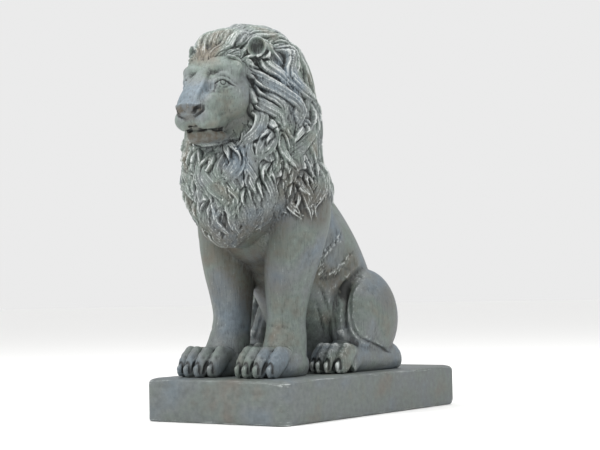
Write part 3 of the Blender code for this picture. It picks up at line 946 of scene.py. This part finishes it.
class Skin:
    """A melted skin held as arrays, in parts, to be worked with strokes."""

    def __init__(self, made: bpy.types.Object) -> None:
        """Reads the object's mesh."""
        self.object = made
        mesh = made.data
        self.points = np.empty(len(mesh.vertices) * 3)
        mesh.vertices.foreach_get("co", self.points)
        self.points = self.points.reshape(-1, 3)
        edges = np.empty(len(mesh.edges) * 2, dtype=np.int64)
        mesh.edges.foreach_get("vertices", edges)
        self.edges = edges.reshape(-1, 2)
        self.valence = np.bincount(self.edges.ravel(), minlength=len(self.points)).astype(float)
        self.stain = np.zeros(len(self.points))
        # Painted shade in the cuts, with the dark patina that stays there.
        self.patina_and_shade = np.zeros(len(self.points))
        self.refresh()

    def refresh(self) -> None:
        """Writes the points back and reads the normals anew."""
        mesh = self.object.data
        mesh.vertices.foreach_set("co", self.points.ravel())
        mesh.update()
        normals = np.empty(len(mesh.vertices) * 3)
        mesh.vertex_normals.foreach_get("vector", normals)
        self.normals = normals.reshape(-1, 3)
        self.rest = self.points.copy()

    def evened(self, values: np.ndarray, times: int, factor: float = 0.5) -> np.ndarray:
        """Returns values, one row a point, averaged with their neighbours' so many times."""
        made = values.copy() if values.ndim == 2 else values[:, None].copy()
        first, second = self.edges[:, 0], self.edges[:, 1]
        for _ in range(times):
            for column in range(made.shape[1]):
                total = np.bincount(first, weights=made[second, column], minlength=len(made))
                total += np.bincount(second, weights=made[first, column], minlength=len(made))
                made[:, column] += factor * (total / self.valence - made[:, column])
        return made if values.ndim == 2 else made[:, 0]

    def stroke(
        self,
        route: list[tuple],
        radius: float,
        height: float,
        hard: float = 1.0,
        along: tuple | None = None,
        taper: bool = True,
    ) -> None:
        """Raises or cuts the skin along a route.

        Args:
            route: places that the tool passes through.
            radius: how far to the side it reaches.
            height: how far it raises the skin, or cuts when below 0.
            hard: above 1 for a narrow crease within the radius.
            along: the direction to push in, or None for the skin's own normal.
            taper: whether it fades at both ends.
        """
        path = np.array(smooth_path(route, 4)) if len(route) > 2 else np.array(route, dtype=float)
        low, high = path.min(0) - radius, path.max(0) + radius
        near = np.nonzero(np.all((self.rest > low) & (self.rest < high), axis=1))[0]
        if not len(near):
            return
        spots = self.rest[near]
        best = np.full(len(near), 1e9)
        where = np.zeros(len(near))
        spans = max(1, len(path) - 1)
        for i in range(spans):
            start, end = path[i], path[min(i + 1, len(path) - 1)]
            run = end - start
            share = np.clip(((spots - start) @ run) / max(1e-9, run @ run), 0, 1)
            gap = np.linalg.norm(spots - start - share[:, None] * run, axis=1)
            nearer = gap < best
            best[nearer] = gap[nearer]
            where[nearer] = ((i + share) / spans)[nearer]
        fall = np.clip(1 - (best / radius) ** 2, 0, 1) ** (2 * hard)
        if taper and len(route) > 1:
            fall *= np.clip(np.sin(np.pi * np.clip(where, 0, 1)), 0, 1) ** 0.5
        push = self.normals[near] if along is None else np.array(along, dtype=float)
        self.points[near] += push * (height * fall)[:, None]

    def soaked(self, values: np.ndarray, route: list[tuple], radius: float, weight: float) -> np.ndarray:
        """Returns values raised to the weight along a route and its mirror image, less and less out to the radius."""
        path = np.array(smooth_path(route, 4)) if len(route) > 2 else np.array(route, dtype=float)
        for mirror in (1, -1):
            for spot in path * (mirror, 1, 1):
                far = np.sum((self.rest - spot) ** 2, axis=1) / radius**2
                values = np.maximum(values, weight * np.clip(1.3 - far, 0, 1))
        return values

    def wash(self, route: list[tuple], radius: float, weight: float) -> None:
        """Stains the skin along a route, olive brown."""
        self.stain = self.soaked(self.stain, route, radius, weight)

    def paint_patina_and_shade(self, route: list[tuple], radius: float, weight: float) -> None:
        """Darkens the skin along a route: painted shade in a cut, with the dark patina that stays there."""
        self.patina_and_shade = self.soaked(self.patina_and_shade, route, radius, weight)

    def mark(self, spacing: float) -> None:
        """Writes how far each point stands out of what is round it, from 0 in a hollow to 1 on a crest.

        Args:
            spacing: the grid's step.
        """
        fine = self.evened(self.points, round(2 * (3.0 / spacing) ** 2))
        broad = self.evened(fine, round(2 * (8.0 / spacing) ** 2))
        stand = np.einsum("ij,ij->i", self.points - fine, self.normals) / 0.8
        swell = np.einsum("ij,ij->i", fine - broad, self.normals) / 3.0
        # Lowered where shade is painted into the cuts, with their patina.
        relief = 0.5 + 0.28 * np.tanh(stand) + 0.22 * np.tanh(swell) - 0.45 * self.patina_and_shade
        self.write("relief", np.clip(relief, 0, 1))
        self.write("stain", self.stain)

    def write(self, name: str, values: np.ndarray) -> None:
        """Keeps a value for every point as an attribute of the mesh."""
        layer = self.object.data.attributes.new(name, "FLOAT", "POINT")
        layer.data.foreach_set("value", values.astype(np.float32))

    def both(self, route: list[tuple], *rest: float, **how: object) -> None:
        """Works the same stroke on both sides, mirrored."""
        self.stroke(route, *rest, **how)
        self.stroke([(-x, y, z) for x, y, z in route], *rest, **how)


@dataclass(frozen=True)
class Face:
    """The face's carving, by landmarks of its near side in the photograph's pixels, mirrored to the far side."""

    eye: tuple = (223.2, 81.8)
    upper_lid: tuple = ((213, 82.6), (217, 78.4), (223, 77), (229.5, 80.2), (236, 86.2))
    lower_lid: tuple = ((214.5, 85.4), (219, 87.8), (224, 88.6), (230, 87.9), (236, 86.4))
    lid_fold: tuple = ((212, 78.5), (217, 74), (223.5, 72.8), (231, 76.4), (238.5, 83))
    under_lid: tuple = ((214.5, 84), (218, 80.6), (223, 79.4), (229, 82.2), (234.5, 86.2))
    bag: tuple = ((217, 91), (224, 92.5), (232, 90.5))
    tear: tuple = ((215.5, 85.5), (213.5, 91))
    brow: tuple = ((211, 70), (216, 66.8), (222, 66.2), (229, 69.5), (236, 76))
    brow_shade: tuple = ((209.5, 72), (213, 72.5), (217, 73))
    brow_notch: tuple = ((209, 66), (208.5, 73), (210.5, 79))
    bridge: tuple = ((206, 74), (202.5, 84), (197.5, 94), (194, 102.5))
    bridge_side: tuple = ((211.5, 83), (208.5, 91), (205.5, 100))
    nostril: tuple = ((199.5, 106.5), (195.5, 108.5), (193.8, 112.5))
    pad_top: tuple = ((184.8, 103.6), (190, 103.4), (196, 104.2), (200.5, 106))
    wing: tuple = ((203, 104.5), (203.5, 109.5), (199, 113.5), (194, 117))
    mouth: tuple = ((190, 127.2), (198.7, 129.6), (209, 129.9), (217, 129.6), (223, 129))
    corner: tuple = ((222.5, 127.5), (226, 131.5))
    pad_edge: tuple = ((216, 116.5), (222, 114.2), (229, 113.2))
    jowl: tuple = ((226, 116), (229, 124), (226.5, 134))
    cheekbone: tuple = ((221, 95), (230, 93.5), (240, 90))
    chin_line: tuple = ((190, 142), (200, 145.5), (212, 144.5), (222, 137.5))

    def carve(self, skin: Skin, bed: Bed) -> None:
        """Works the features over the skin.

        Args:
            skin: the skin.
            bed: the surface that the pixels are cast on.
        """

        def route(pixels: tuple) -> list[tuple]:
            return [tuple(bed.seen(pixel)) for pixel in pixels]

        eye = bed.seen(self.eye)
        skin.both([tuple(eye)], 17, -3.5, hard=0.7)
        skin.both(route(self.brow), 9, 1.0)
        skin.both(route(self.brow_shade), 6, -1.8)
        skin.both(route(self.brow_notch), 6, -1.5)
        skin.both(route(self.cheekbone), 12, 1.2)
        skin.both(route(self.bridge), 5.5, 3.0)
        skin.both(route(self.bridge_side), 9, -2.4)
        skin.both([tuple(eye)], 10, 3.6, hard=0.45)
        skin.both(route(self.lid_fold), 5, 2.0)
        skin.both(route(self.upper_lid), 3.4, 2.6)
        skin.both(route(self.under_lid), 2.4, -2.2)
        skin.both(route(self.lower_lid), 3.0, 2.0)
        skin.both(route(self.bag), 4.0, -1.2)
        skin.both(route(self.tear), 3.6, -2.6)
        normal = bed.nearest(eye)[1]
        across = normal.cross(Vector((0, 0, 1))).normalized()
        over = across.cross(normal)
        ring = [
            tuple(eye + across * 4.6 * math.cos(a) + over * 4.6 * math.sin(a))
            for a in (2 * math.pi * k / 12 for k in range(13))
        ]
        skin.both(ring, 1.8, -0.9, taper=False)
        skin.both([tuple(eye)], 2.6, -1.2)
        skin.both(route(self.pad_top), 3.5, 1.6)
        skin.both(route(self.wing), 3.4, -2.2)
        skin.both(route(self.nostril), 4.2, -6.5)
        skin.both(route(self.mouth), 3.8, -6.5, hard=1.2, taper=False)
        skin.both(route(self.corner), 4.0, -2.5)
        skin.both(route(self.pad_edge), 5, -2.0)
        skin.both(route(self.jowl), 7, -2.0)
        skin.both(route(self.chin_line), 4.5, -3.0)
        skin.stroke([(0, -96, 455), (0, -93, 446), (0, -90, 432), (0, -86, 422)], 12, -3.0, hard=2.5)
        # Painted shade in the mouth, the lids, the tear groove, the nostrils, the nose wings and under the brow, then
        # in the groove round the iris, with the dark patina of these cuts.
        for pixels, radius, weight in (
            (self.mouth, 3.0, 0.85),
            (self.corner, 3.0, 0.6),
            (self.under_lid, 1.7, 0.6),
            (self.lower_lid, 1.6, 0.35),
            (self.tear, 3.0, 0.5),
            (self.nostril, 4.4, 1.0),
            (self.wing, 3.0, 0.5),
            (self.brow_shade, 6.0, 0.35),
        ):
            skin.paint_patina_and_shade(route(pixels), radius, weight)
        skin.paint_patina_and_shade(ring, 1.5, 0.6)
        skin.refresh()


@dataclass(frozen=True)
class Stain:
    """A place where the patina is darker or paler, by the photograph's pixels, with its radius in parts."""

    route: tuple[tuple[float, float], ...]
    radius: float
    weight: float


STAINS = (
    Stain(((186, 108.5), (192, 109.5), (198, 109)), 9, 1.0),
    Stain(((191, 117), (190.5, 126)), 8, 0.7),
    Stain(((190, 137), (200, 139), (212, 138), (220, 134)), 16, 1.0),
    Stain(((228, 128), (236, 124), (243, 112)), 22, 0.5),
    Stain(((292, 185), (305, 200), (318, 205)), 42, 0.8),
    Stain(((212, 236), (228, 242), (250, 232), (275, 222)), 34, 0.7),
    Stain(((322, 276), (340, 282), (352, 262)), 26, 0.8),
    Stain(((236, 262), (248, 276), (252, 296)), 40, 0.8),
    Stain(((390, 300), (396, 330)), 34, 0.5),
    Stain(((206, 290), (210, 250)), 30, 0.4),
)


@dataclass(frozen=True)
class Toes:
    """The carving of one row of toes, on both sides of the lion, in parts."""

    middle: float
    front: float
    spread: float
    length: float

    def carve(self, skin: Skin) -> None:
        """Cuts the clefts between the toes, rounds the knuckles and draws a cuticle over every claw, with painted shade
        in the clefts and along the cuticles.
        """
        for place in (-1, 0, 1):
            x = self.middle + place * self.spread
            y = self.front + 4.5 * abs(place)
            cleft = [(x, y - 6, 4), (x, y + 2, 24), (x, y + self.length * 0.5, 44), (x, y + self.length, 46)]
            skin.both(cleft, 6, -5.6, hard=1.3)
            # Painted shade in the cleft, with its dark patina.
            skin.paint_patina_and_shade(cleft[:3], 4, 0.9)
            skin.both([(x, y + self.length, 46), (x * 0.98, y + self.length + 26, 66)], 6, -1.6)
        for place in (-1.5, -0.5, 0.5, 1.5):
            x = self.middle + place * self.spread
            y = self.front + 9 * (abs(place) - 0.5)
            wide = self.spread * 0.32
            skin.both([(x, y + self.length * 0.36, 46)], 12, 4.2)
            skin.both([(x - wide, y + self.length * 0.06, 34), (x + wide, y + self.length * 0.06, 34)], 5, -2.6, taper=False)
            skin.both([(x, y - 9, 16)], 8, 2.4)
            shoulder = wide * 0.8
            cuticle = [
                (x - wide, y - 8, 9),
                (x - shoulder, y - 8, 21),
                (x, y - 7, 26),
                (x + shoulder, y - 8, 21),
                (x + wide, y - 8, 9),
            ]
            skin.both(cuticle, 3.0, -2.6, taper=False)
            # Painted shade along the cuticle, with its dark patina.
            skin.paint_patina_and_shade(cuticle, 3.4, 0.9)


@dataclass(frozen=True)
class Hide:
    """The creases and swellings of the near flank and legs, in the photograph's pixels, mirrored to the far side."""

    haunch: tuple = ((371, 267), (361, 276), (353, 289), (350, 304), (351, 321), (357, 334), (368, 342), (390, 352))
    belly: tuple = ((319, 284), (326, 302), (333, 322), (338, 340))
    inner_belly: tuple = ((316, 300), (321, 320), (325, 340))
    wart: tuple = ((342, 292),)
    rim: tuple = ((363, 267), (353, 278), (346, 290), (343.5, 305), (344, 321), (349, 336), (360, 345))
    hollow: tuple = ((348, 278), (342, 295), (339, 312), (341, 330))
    under_fringe: tuple = ((356, 262), (344, 274), (331, 281), (320, 276))
    tendon: tuple = ((283, 258), (280, 285), (277, 316), (276, 338))
    elbow: tuple = ((303, 232), (309, 250), (311, 272))
    shin: tuple = ((363, 338), (376, 345), (392, 353))
    wrist: tuple = ((262, 330), (272, 326), (284, 327), (296, 332))

    def carve(self, skin: Skin, bed: Bed) -> None:
        """Works them over the skin, as seen from where the photograph was taken."""
        for pixels, radius, height, hard in (
            (self.hollow, 20, -8.0, 0.8),
            (self.under_fringe, 14, -4.0, 0.8),
            (self.rim, 11, -8.0, 0.9),
            (self.haunch, 6, -3.6, 1.3),
            (self.belly, 6, -3.0, 1.0),
            (self.inner_belly, 5, -2.0, 1.0),
            (self.wart, 5, 2.5, 1.0),
            (self.tendon, 12, 1.6, 1.0),
            (self.elbow, 14, -2.0, 1.0),
            (self.shin, 4, -2.5, 1.2),
            (self.wrist, 6, -1.2, 1.0),
        ):
            skin.both([tuple(bed.seen(pixel)) for pixel in pixels], radius, height, hard=hard)


def hex_colour(code: str) -> tuple[float, float, float, float]:
    """Returns an sRGB hex colour such as "8A8F80" as linear RGBA."""
    parts = [int(code[i : i + 2], 16) / 255 for i in (0, 2, 4)]
    linear = [c / 12.92 if c <= 0.04045 else ((c + 0.055) / 1.055) ** 2.4 for c in parts]
    return (*linear, 1.0)


def add_node(tree: bpy.types.NodeTree, kind: str, links: dict | None = None, **settings: object) -> bpy.types.Node:
    """Adds a node with its settings and links.

    Args:
        tree: the material's nodes.
        kind: the node's type name, without the ShaderNode before it.
        links: input name or place to an output socket, or to a plain value.
        settings: attributes of the node.

    Returns:
        The node.
    """
    node = tree.nodes.new("ShaderNode" + kind)
    for name, value in settings.items():
        setattr(node, name, value)
    for name, value in (links or {}).items():
        socket = node.inputs[name]
        if isinstance(value, bpy.types.NodeSocket):
            tree.links.new(value, socket)
        else:
            socket.default_value = value
    return node


@dataclass(frozen=True)
class AgedStone:
    """Cast resin stone with an antique patina: a dark wash left in the hollows, pale paint rubbed on the edges.

    It was moulded, so its surface is closed and faintly gritty. The wash gives the eye depth in every groove,
    and the dry-brushed edges catch light, while the broad patches of green, blue and olive keep it from
    looking painted.
    """

    name: str
    body: str = "727878"
    cool: str = "6C7880"
    green: str = "6F7A74"
    olive: str = "6E695E"
    wash: str = "1B1D1D"
    stained: str = "514B40"
    rubbed: str = "D9DEDC"
    roughness: float = 0.52
    patch_mm: float = 75.0
    mottle_mm: float = 9.0
    grit_mm: float = 1.4
    hair_mm: float = 3.0
    streak_mm: tuple[float, float, float] = (2.2, 2.2, 26.0)
    hollow: tuple[float, float] = (0.50, 0.24)
    crest: tuple[float, float] = (0.64, 0.95)
    streaks: float = 0.12
    hair_lines: float = 0.07
    pale_from: tuple[float, float] = (0.30, 0.62)
    paleness: tuple[float, float] = (0.80, 1.22)

    def noise(self, tree: bpy.types.NodeTree, sizes: tuple[float, float, float], detail: float) -> object:
        """Returns a noise socket whose pattern measures so many millimetres along x, y and z."""
        place = add_node(tree, "TexCoord").outputs["Object"]
        scaled = add_node(tree, "Mapping", {"Vector": place, "Scale": tuple(1000 / size for size in sizes)})
        pattern = {"Vector": scaled.outputs["Vector"], "Scale": 1.0, "Detail": detail}
        return add_node(tree, "TexNoise", pattern).outputs["Fac"]

    def make(self) -> bpy.types.Material:
        """Returns the material."""
        made = bpy.data.materials.new(self.name)
        made.use_nodes = True
        tree = made.node_tree
        shader = tree.nodes["Principled BSDF"]
        patches = self.noise(tree, (self.patch_mm,) * 3, 4.0)
        mottle = self.noise(tree, (self.mottle_mm,) * 3, 5.0)
        grit = self.noise(tree, (self.grit_mm,) * 3, 3.0)
        streak = self.noise(tree, self.streak_mm, 3.0)
        tint = add_node(tree, "ValToRGB", {"Fac": patches})
        ramp_colours(tint, ((0.34, self.cool), (0.46, self.body), (0.56, self.green), (0.70, self.olive)))
        shade = spread(tree, mottle, (0.3, 0.7), (0.80, 1.20))
        # Darker towards the bottom and paler towards the top, by height, times the mottle.
        height = add_node(tree, "SeparateXYZ", {0: add_node(tree, "TexCoord").outputs["Object"]}).outputs["Z"]
        mottle_and_height_tone = add_node(tree, "Math", {0: shade, 1: spread(tree, height, self.pale_from, self.paleness)}, operation="MULTIPLY")
        bare = add_node(tree, "VectorMath", {0: tint.outputs["Color"], 3: mottle_and_height_tone.outputs[0]}, operation="SCALE").outputs[0]
        stain = add_node(tree, "Attribute", attribute_name="stain").outputs["Fac"]
        patchy = add_node(tree, "Math", {0: stain, 1: spread(tree, mottle, (0.35, 0.6), (0.35, 1.0))}, operation="MULTIPLY")
        toned = mix_colour(tree, patchy.outputs[0], bare, hex_colour(self.stained))
        relief = add_node(tree, "Attribute", attribute_name="relief").outputs["Fac"]
        across = add_node(tree, "Attribute", attribute_name="strand").outputs["Fac"]
        turns = add_node(tree, "Math", {0: across, 1: 2 * math.pi / self.hair_mm}, operation="MULTIPLY").outputs[0]
        hairs = add_node(tree, "Math", {0: turns}, operation="SINE").outputs[0]
        held = add_node(tree, "Attribute", attribute_name="hair").outputs["Fac"]
        lines = add_node(tree, "Math", {0: hairs, 1: held}, operation="MULTIPLY").outputs[0]
        combed = add_node(tree, "Math", {0: lines, 1: self.hair_lines, 2: relief}, operation="MULTIPLY_ADD").outputs[0]
        scratched = add_node(tree, "Math", {0: combed, 1: spread(tree, streak, (0.3, 0.7), (-self.streaks, self.streaks))})
        broken = add_node(tree, "Math", {0: scratched.outputs[0], 1: spread(tree, grit, (0.2, 0.8), (-0.10, 0.10))})
        # The dark wash is the patina in the hollows, and where the cuts are inked also painted shade.
        hollow = spread(tree, broken.outputs[0], self.hollow, (0.0, 0.9))
        crest = spread(tree, broken.outputs[0], self.crest, (0.0, 0.9))
        washed = mix_colour(tree, hollow, toned, hex_colour(self.wash))
        tree.links.new(mix_colour(tree, crest, washed, hex_colour(self.rubbed)), shader.inputs["Base Color"])
        rough = spread(tree, mottle, (0.2, 0.8), (self.roughness - 0.1, self.roughness + 0.12))
        tree.links.new(rough, shader.inputs["Roughness"])
        grain = add_node(tree, "Math", {0: streak, 1: 1.2, 2: grit}, operation="MULTIPLY_ADD").outputs[0]
        rough_skin = add_node(tree, "Math", {0: lines, 1: 0.5, 2: grain}, operation="MULTIPLY_ADD")
        bump = add_node(tree, "Bump", {"Height": rough_skin.outputs[0], "Strength": 0.6, "Distance": 0.0007})
        tree.links.new(bump.outputs["Normal"], shader.inputs["Normal"])
        shader.inputs["IOR"].default_value = 1.5
        return made


def spread(tree: bpy.types.NodeTree, value: object, given: tuple[float, float], wanted: tuple[float, float]) -> object:
    """Returns a value mapped from one range to another and held within it, as a socket."""
    limits = {"Value": value, 1: given[0], 2: given[1], 3: wanted[0], 4: wanted[1]}
    return add_node(tree, "MapRange", limits).outputs["Result"]


def ramp_colours(node: bpy.types.Node, stops: tuple[tuple[float, str], ...]) -> None:
    """Sets a colour ramp's stops from places and hex colours."""
    elements = node.color_ramp.elements
    while len(elements) < len(stops):
        elements.new(0.5)
    for element, (place, code) in zip(elements, stops):
        element.position = place
        element.color = hex_colour(code)


def mix_colour(tree: bpy.types.NodeTree, share: bpy.types.NodeSocket, first: object, second: object) -> object:
    """Returns first mixed towards second by share, as a socket."""
    mix = tree.nodes.new("ShaderNodeMix")
    mix.data_type = "RGBA"
    tree.links.new(share, mix.inputs["Factor"])
    for name, value in (("A", first), ("B", second)):
        socket = next(s for s in mix.inputs if s.name == name and s.type == "RGBA")
        if isinstance(value, bpy.types.NodeSocket):
            tree.links.new(value, socket)
        else:
            socket.default_value = value
    return next(s for s in mix.outputs if s.type == "RGBA")


@dataclass
class Lion:
    """The whole figure as one skin."""

    voxel: float = 1.6
    quick_voxel: float = 2.0
    bed_voxel: float = 3.0
    triangles: int = 190_000
    temples: tuple[tuple[float, float], ...] = ((243, 70), (183.5, 72))
    fine_boxes: tuple = ((58, 6, 398, 556), (114, 34, 3, 58))
    body: Body = field(default_factory=Body)
    head: Head = field(default_factory=Head)
    mane: Mane = field(default_factory=Mane)

    def build(self) -> bpy.types.Object:
        """Builds the figure on the plinth and hides the solid that it replaces.

        Returns:
            The finished object.
        """
        made = self.melted("lion_figure", self.step(), True)
        skin = Skin(made)
        self.soften(skin, self.step())
        skin = self.refine(made)
        smooth = self.melted("bed", self.bed_voxel, False)
        self.soften(Skin(smooth), self.bed_voxel)
        bed = Bed(smooth, self.stand())
        bpy.data.objects.remove(smooth, do_unlink=True)
        relief = Relief(skin.points, skin.normals)
        for side in (-1, 1):
            x, y, z = self.head.ear
            relief.spare(Vector((x * side, y - 3, z + 1)), 16, 23)
            for pixel in self.temples:
                spot = bed.seen(pixel)
                relief.spare(Vector((spot.x * side, spot.y, spot.z)), 9, 17)
        self.mane.carve(relief, bed)
        LOG.info("mane carved")
        under = np.clip(1.25 + 1.3 * skin.normals[:, 2], 0.25, 1)
        skin.points += skin.normals * (skin.evened(relief.height, 1) * under)[:, None]
        skin.refresh()
        self.carve(skin, bed)
        skin.refresh()
        skin.mark(self.step())
        skin.write("strand", relief.strand)
        skin.write("hair", relief.hair)
        thin_out(made, self.triangles)
        self.settle(made)
        made.data.shade_smooth()
        made.data.materials.clear()
        made.data.materials.append(AgedStone("aged_cast_stone").make())
        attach(made, "root")
        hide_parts("lion")
        return made

    def stand(self) -> Vector:
        """Where the figure's own origin is in the frame, in metres."""
        low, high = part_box("plinth")
        return Vector((0, low[1] + FRONT_SETBACK, high[2] + REST_GAP))

    def step(self) -> float:
        """The grid's step for this run, in parts."""
        return self.voxel

    def melted(self, name: str, voxel: float, ears: bool) -> bpy.types.Object:
        """Melts the body, the head and the mane's bulk into one skin, with or without the ears."""
        clay = Clay()
        self.body.shape(clay)
        self.head.shape(clay)
        if ears:
            self.head.ears(clay)
        self.mane.bulk(clay)
        return clay.melt(name, voxel, 0)

    def soften(self, skin: Skin, spacing: float) -> None:
        """Blends the melted forms into each other, more over the head and trunk than at the paws and ears."""
        light = skin.evened(skin.points, round(2 * (2.5 / spacing) ** 2))
        heavy = skin.evened(light, round(2 * (6 / spacing) ** 2))
        share = np.clip((skin.points[:, 2] - 50) / 50, 0, 1)
        for side in (-1, 1):
            far = np.linalg.norm(skin.points - np.array(self.head.ear) * (side, 1, 1), axis=1)
            share = np.minimum(share, np.clip((far - 20) / 10, 0, 1))
        skin.points = light + (heavy - light) * share[:, None]
        skin.refresh()

    def refine(self, made: bpy.types.Object) -> Skin:
        """Halves the grid over the face and the toes, so that lids, lips and claws can be cut.

        Args:
            made: the object.

        Returns:
            Its skin read again.
        """
        mesh = bmesh.new()
        mesh.from_mesh(made.data)
        keen = np.zeros(len(mesh.verts), dtype=bool)
        points = np.array([v.co[:] for v in mesh.verts])
        for wide, back, low, high in self.fine_boxes:
            keen |= (abs(points[:, 0]) < wide) & (points[:, 1] < back) & (points[:, 2] > low) & (points[:, 2] < high)
        chosen = [edge for edge in mesh.edges if keen[edge.verts[0].index] and keen[edge.verts[1].index]]
        bmesh.ops.subdivide_edges(mesh, edges=chosen, cuts=1, use_grid_fill=True)
        mesh.to_mesh(made.data)
        mesh.free()
        skin = Skin(made)
        skin.points = skin.evened(skin.points, 2)
        skin.refresh()
        return skin

    def carve(self, skin: Skin, bed: Bed) -> None:
        """Works the face, the toes and the creases of the body over the skin."""
        Face().carve(skin, bed)
        Hide().carve(skin, bed)
        # Painted shade in the ear's hollow, with its dark patina.
        skin.paint_patina_and_shade([self.head.ear], 10, 0.6)
        for stain in STAINS:
            skin.wash([tuple(bed.seen(pixel)) for pixel in stain.route], stain.radius, stain.weight)
        for toes in (
            Toes(self.body.paw_x, 0, self.body.toe_spread, 56),
            Toes(self.body.hind_x, 163, self.body.hind_toe_spread, 50),
        ):
            toes.carve(skin)

    def settle(self, made: bpy.types.Object) -> None:
        """Turns parts into metres, cuts the soles flat and stands the figure on the plinth."""
        skin = bmesh.new()
        skin.from_mesh(made.data)
        bmesh.ops.scale(skin, vec=(PART, PART, PART), verts=skin.verts)
        cut = bmesh.ops.bisect_plane(
            skin,
            geom=[*skin.verts, *skin.edges, *skin.faces],
            plane_co=(0, 0, 0),
            plane_no=(0, 0, -1),
            clear_outer=True,
        )
        rims = [e for e in cut["geom_cut"] if isinstance(e, bmesh.types.BMEdge)]
        bmesh.ops.holes_fill(skin, edges=rims, sides=0)
        bmesh.ops.translate(skin, vec=self.stand(), verts=skin.verts)
        skin.to_mesh(made.data)
        skin.free()


@dataclass
class Plinth:
    """The block under the figure: the solid's own form with worn edges, small chips and a stone finish."""

    voxel: float = 2.2
    triangles: int = 70_000
    edge_wear: float = 0.9
    chip_depth: float = 1.3
    chip_size: float = 7.0

    def build(self) -> bpy.types.Object:
        """Builds the block and hides the solid that it replaces.

        Returns:
            The finished object.
        """
        made = bpy.data.objects.new("plinth_block", self.form())
        bpy.context.scene.collection.objects.link(made)
        remesh = made.modifiers.new("Melt", "REMESH")
        remesh.mode = "VOXEL"
        remesh.voxel_size = self.voxel
        bake_modifiers(made)
        skin = Skin(made)
        self.wear(skin)
        skin.mark(self.voxel)
        thin_out(made, self.triangles)
        made.data.transform(Matrix.Scale(PART, 4))
        made.data.shade_smooth()
        made.data.materials.append(
            AgedStone(
                "aged_plinth_stone", body="6C7272", cool="6B757A", green="6B736F", olive="6E6B64",
                streak_mm=(40.0, 40.0, 2.0), hollow=(0.36, 0.12), crest=(0.70, 0.98), streaks=0.12,
            ).make()
        )
        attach(made, "root")
        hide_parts("plinth")
        return made

    def form(self) -> bpy.types.Mesh:
        """Returns a copy of the solid's mesh, in parts."""
        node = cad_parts["plinth"]
        mesh = node.data.copy()
        mesh.name = "plinth_block"
        mesh.materials.clear()
        mesh.transform(Matrix.Scale(1 / PART, 4) @ node.matrix_world)
        return mesh

    def wear(self, skin: Skin) -> None:
        """Rounds the edges a little and breaks small chips out of them."""
        smooth = skin.evened(skin.points, 6)
        inward = smooth - skin.points
        sharp = np.linalg.norm(inward, axis=1)
        skin.points = smooth
        skin.refresh()
        for i in np.nonzero(sharp > self.edge_wear)[0]:
            chance = noise.noise(Vector(smooth[i]) / self.chip_size)
            skin.points[i] += inward[i] / sharp[i] * self.chip_depth * max(0.0, chance - 0.1) * 2
        low = skin.points[:, 2] < 1.2
        skin.points[low, 2] = np.maximum(skin.points[low, 2], 0)
        skin.refresh()


@dataclass
class Studio:
    """A pale floor, soft lights and the camera where the photograph was taken from."""

    viewpoint: Viewpoint = Viewpoint()
    paper: str = "FDFDFC"
    ambient: float = 0.85
    backdrop: float = 0.83

    def camera(self) -> None:
        """Places the camera."""
        side, top, ahead = self.viewpoint.axes()
        lens = bpy.data.cameras.new("camera")
        lens.lens = self.viewpoint.lens_mm
        lens.sensor_width = self.viewpoint.sensor_mm
        camera = bpy.data.objects.new("camera", lens)
        facing = Matrix((side, top, -ahead)).transposed().to_4x4()
        camera.matrix_world = Matrix.Translation(self.viewpoint.at) @ facing
        bpy.context.scene.collection.objects.link(camera)
        bpy.context.scene.camera = camera

    def lamp(self, name: str, at: tuple, size: float, watts: float) -> None:
        """Adds a square soft light that faces the figure's middle.

        Args:
            name: the light's name.
            at: where it hangs.
            size: the length of its side.
            watts: its power.
        """
        light = bpy.data.lights.new(name, "AREA")
        light.size = size
        light.energy = watts
        made = bpy.data.objects.new(name, light)
        made.location = at
        made.rotation_euler = (Vector((0, 0, 0.4)) - Vector(at)).to_track_quat("-Z", "Y").to_euler()
        bpy.context.scene.collection.objects.link(made)

    def build(self) -> None:
        """Builds the floor, the lights and the camera."""
        self.camera()
        self.lamp("key", (-0.7, -2.0, 3.0), 0.7, 66)
        self.lamp("fill", (2.8, -1.2, 1.2), 2.0, 6)
        self.lamp("top", (0.6, 0.9, 2.8), 1.0, 30)
        world = bpy.data.worlds.new("studio")
        bpy.context.scene.world = world
        world.use_nodes = True
        backdrop = world.node_tree.nodes["Background"]
        backdrop.inputs["Color"].default_value = (1, 1, 1, 1)
        seen = add_node(world.node_tree, "LightPath").outputs["Is Camera Ray"]
        strength = add_node(world.node_tree, "MapRange", {"Value": seen, 3: self.ambient, 4: self.backdrop})
        world.node_tree.links.new(strength.outputs["Result"], backdrop.inputs["Strength"])
        sheet = bmesh.new()
        bmesh.ops.create_grid(sheet, x_segments=1, y_segments=1, size=30)
        mesh = bpy.data.meshes.new("floor")
        sheet.to_mesh(mesh)
        sheet.free()
        floor = bpy.data.objects.new("floor", mesh)
        floor.location.z = -0.0005
        paper = bpy.data.materials.new("pale_paper")
        paper.use_nodes = True
        paper.node_tree.nodes["Principled BSDF"].inputs["Base Color"].default_value = hex_colour(self.paper)
        paper.node_tree.nodes["Principled BSDF"].inputs["Roughness"].default_value = 0.9
        mesh.materials.append(paper)
        bpy.context.scene.collection.objects.link(floor)
        bpy.context.scene.view_settings.view_transform = "Standard"


def main() -> None:
    """Builds the studio, the plinth and the figure."""
    logging.basicConfig(level=logging.INFO, format="%(name)s: %(relativeCreated)d ms, %(message)s")
    Studio().build()
    block = Plinth().build()
    LOG.info("plinth has %d faces", len(block.data.polygons))
    figure = Lion().build()
    LOG.info("figure has %d faces", len(figure.data.polygons))


if __name__ == "__main__":
    main()
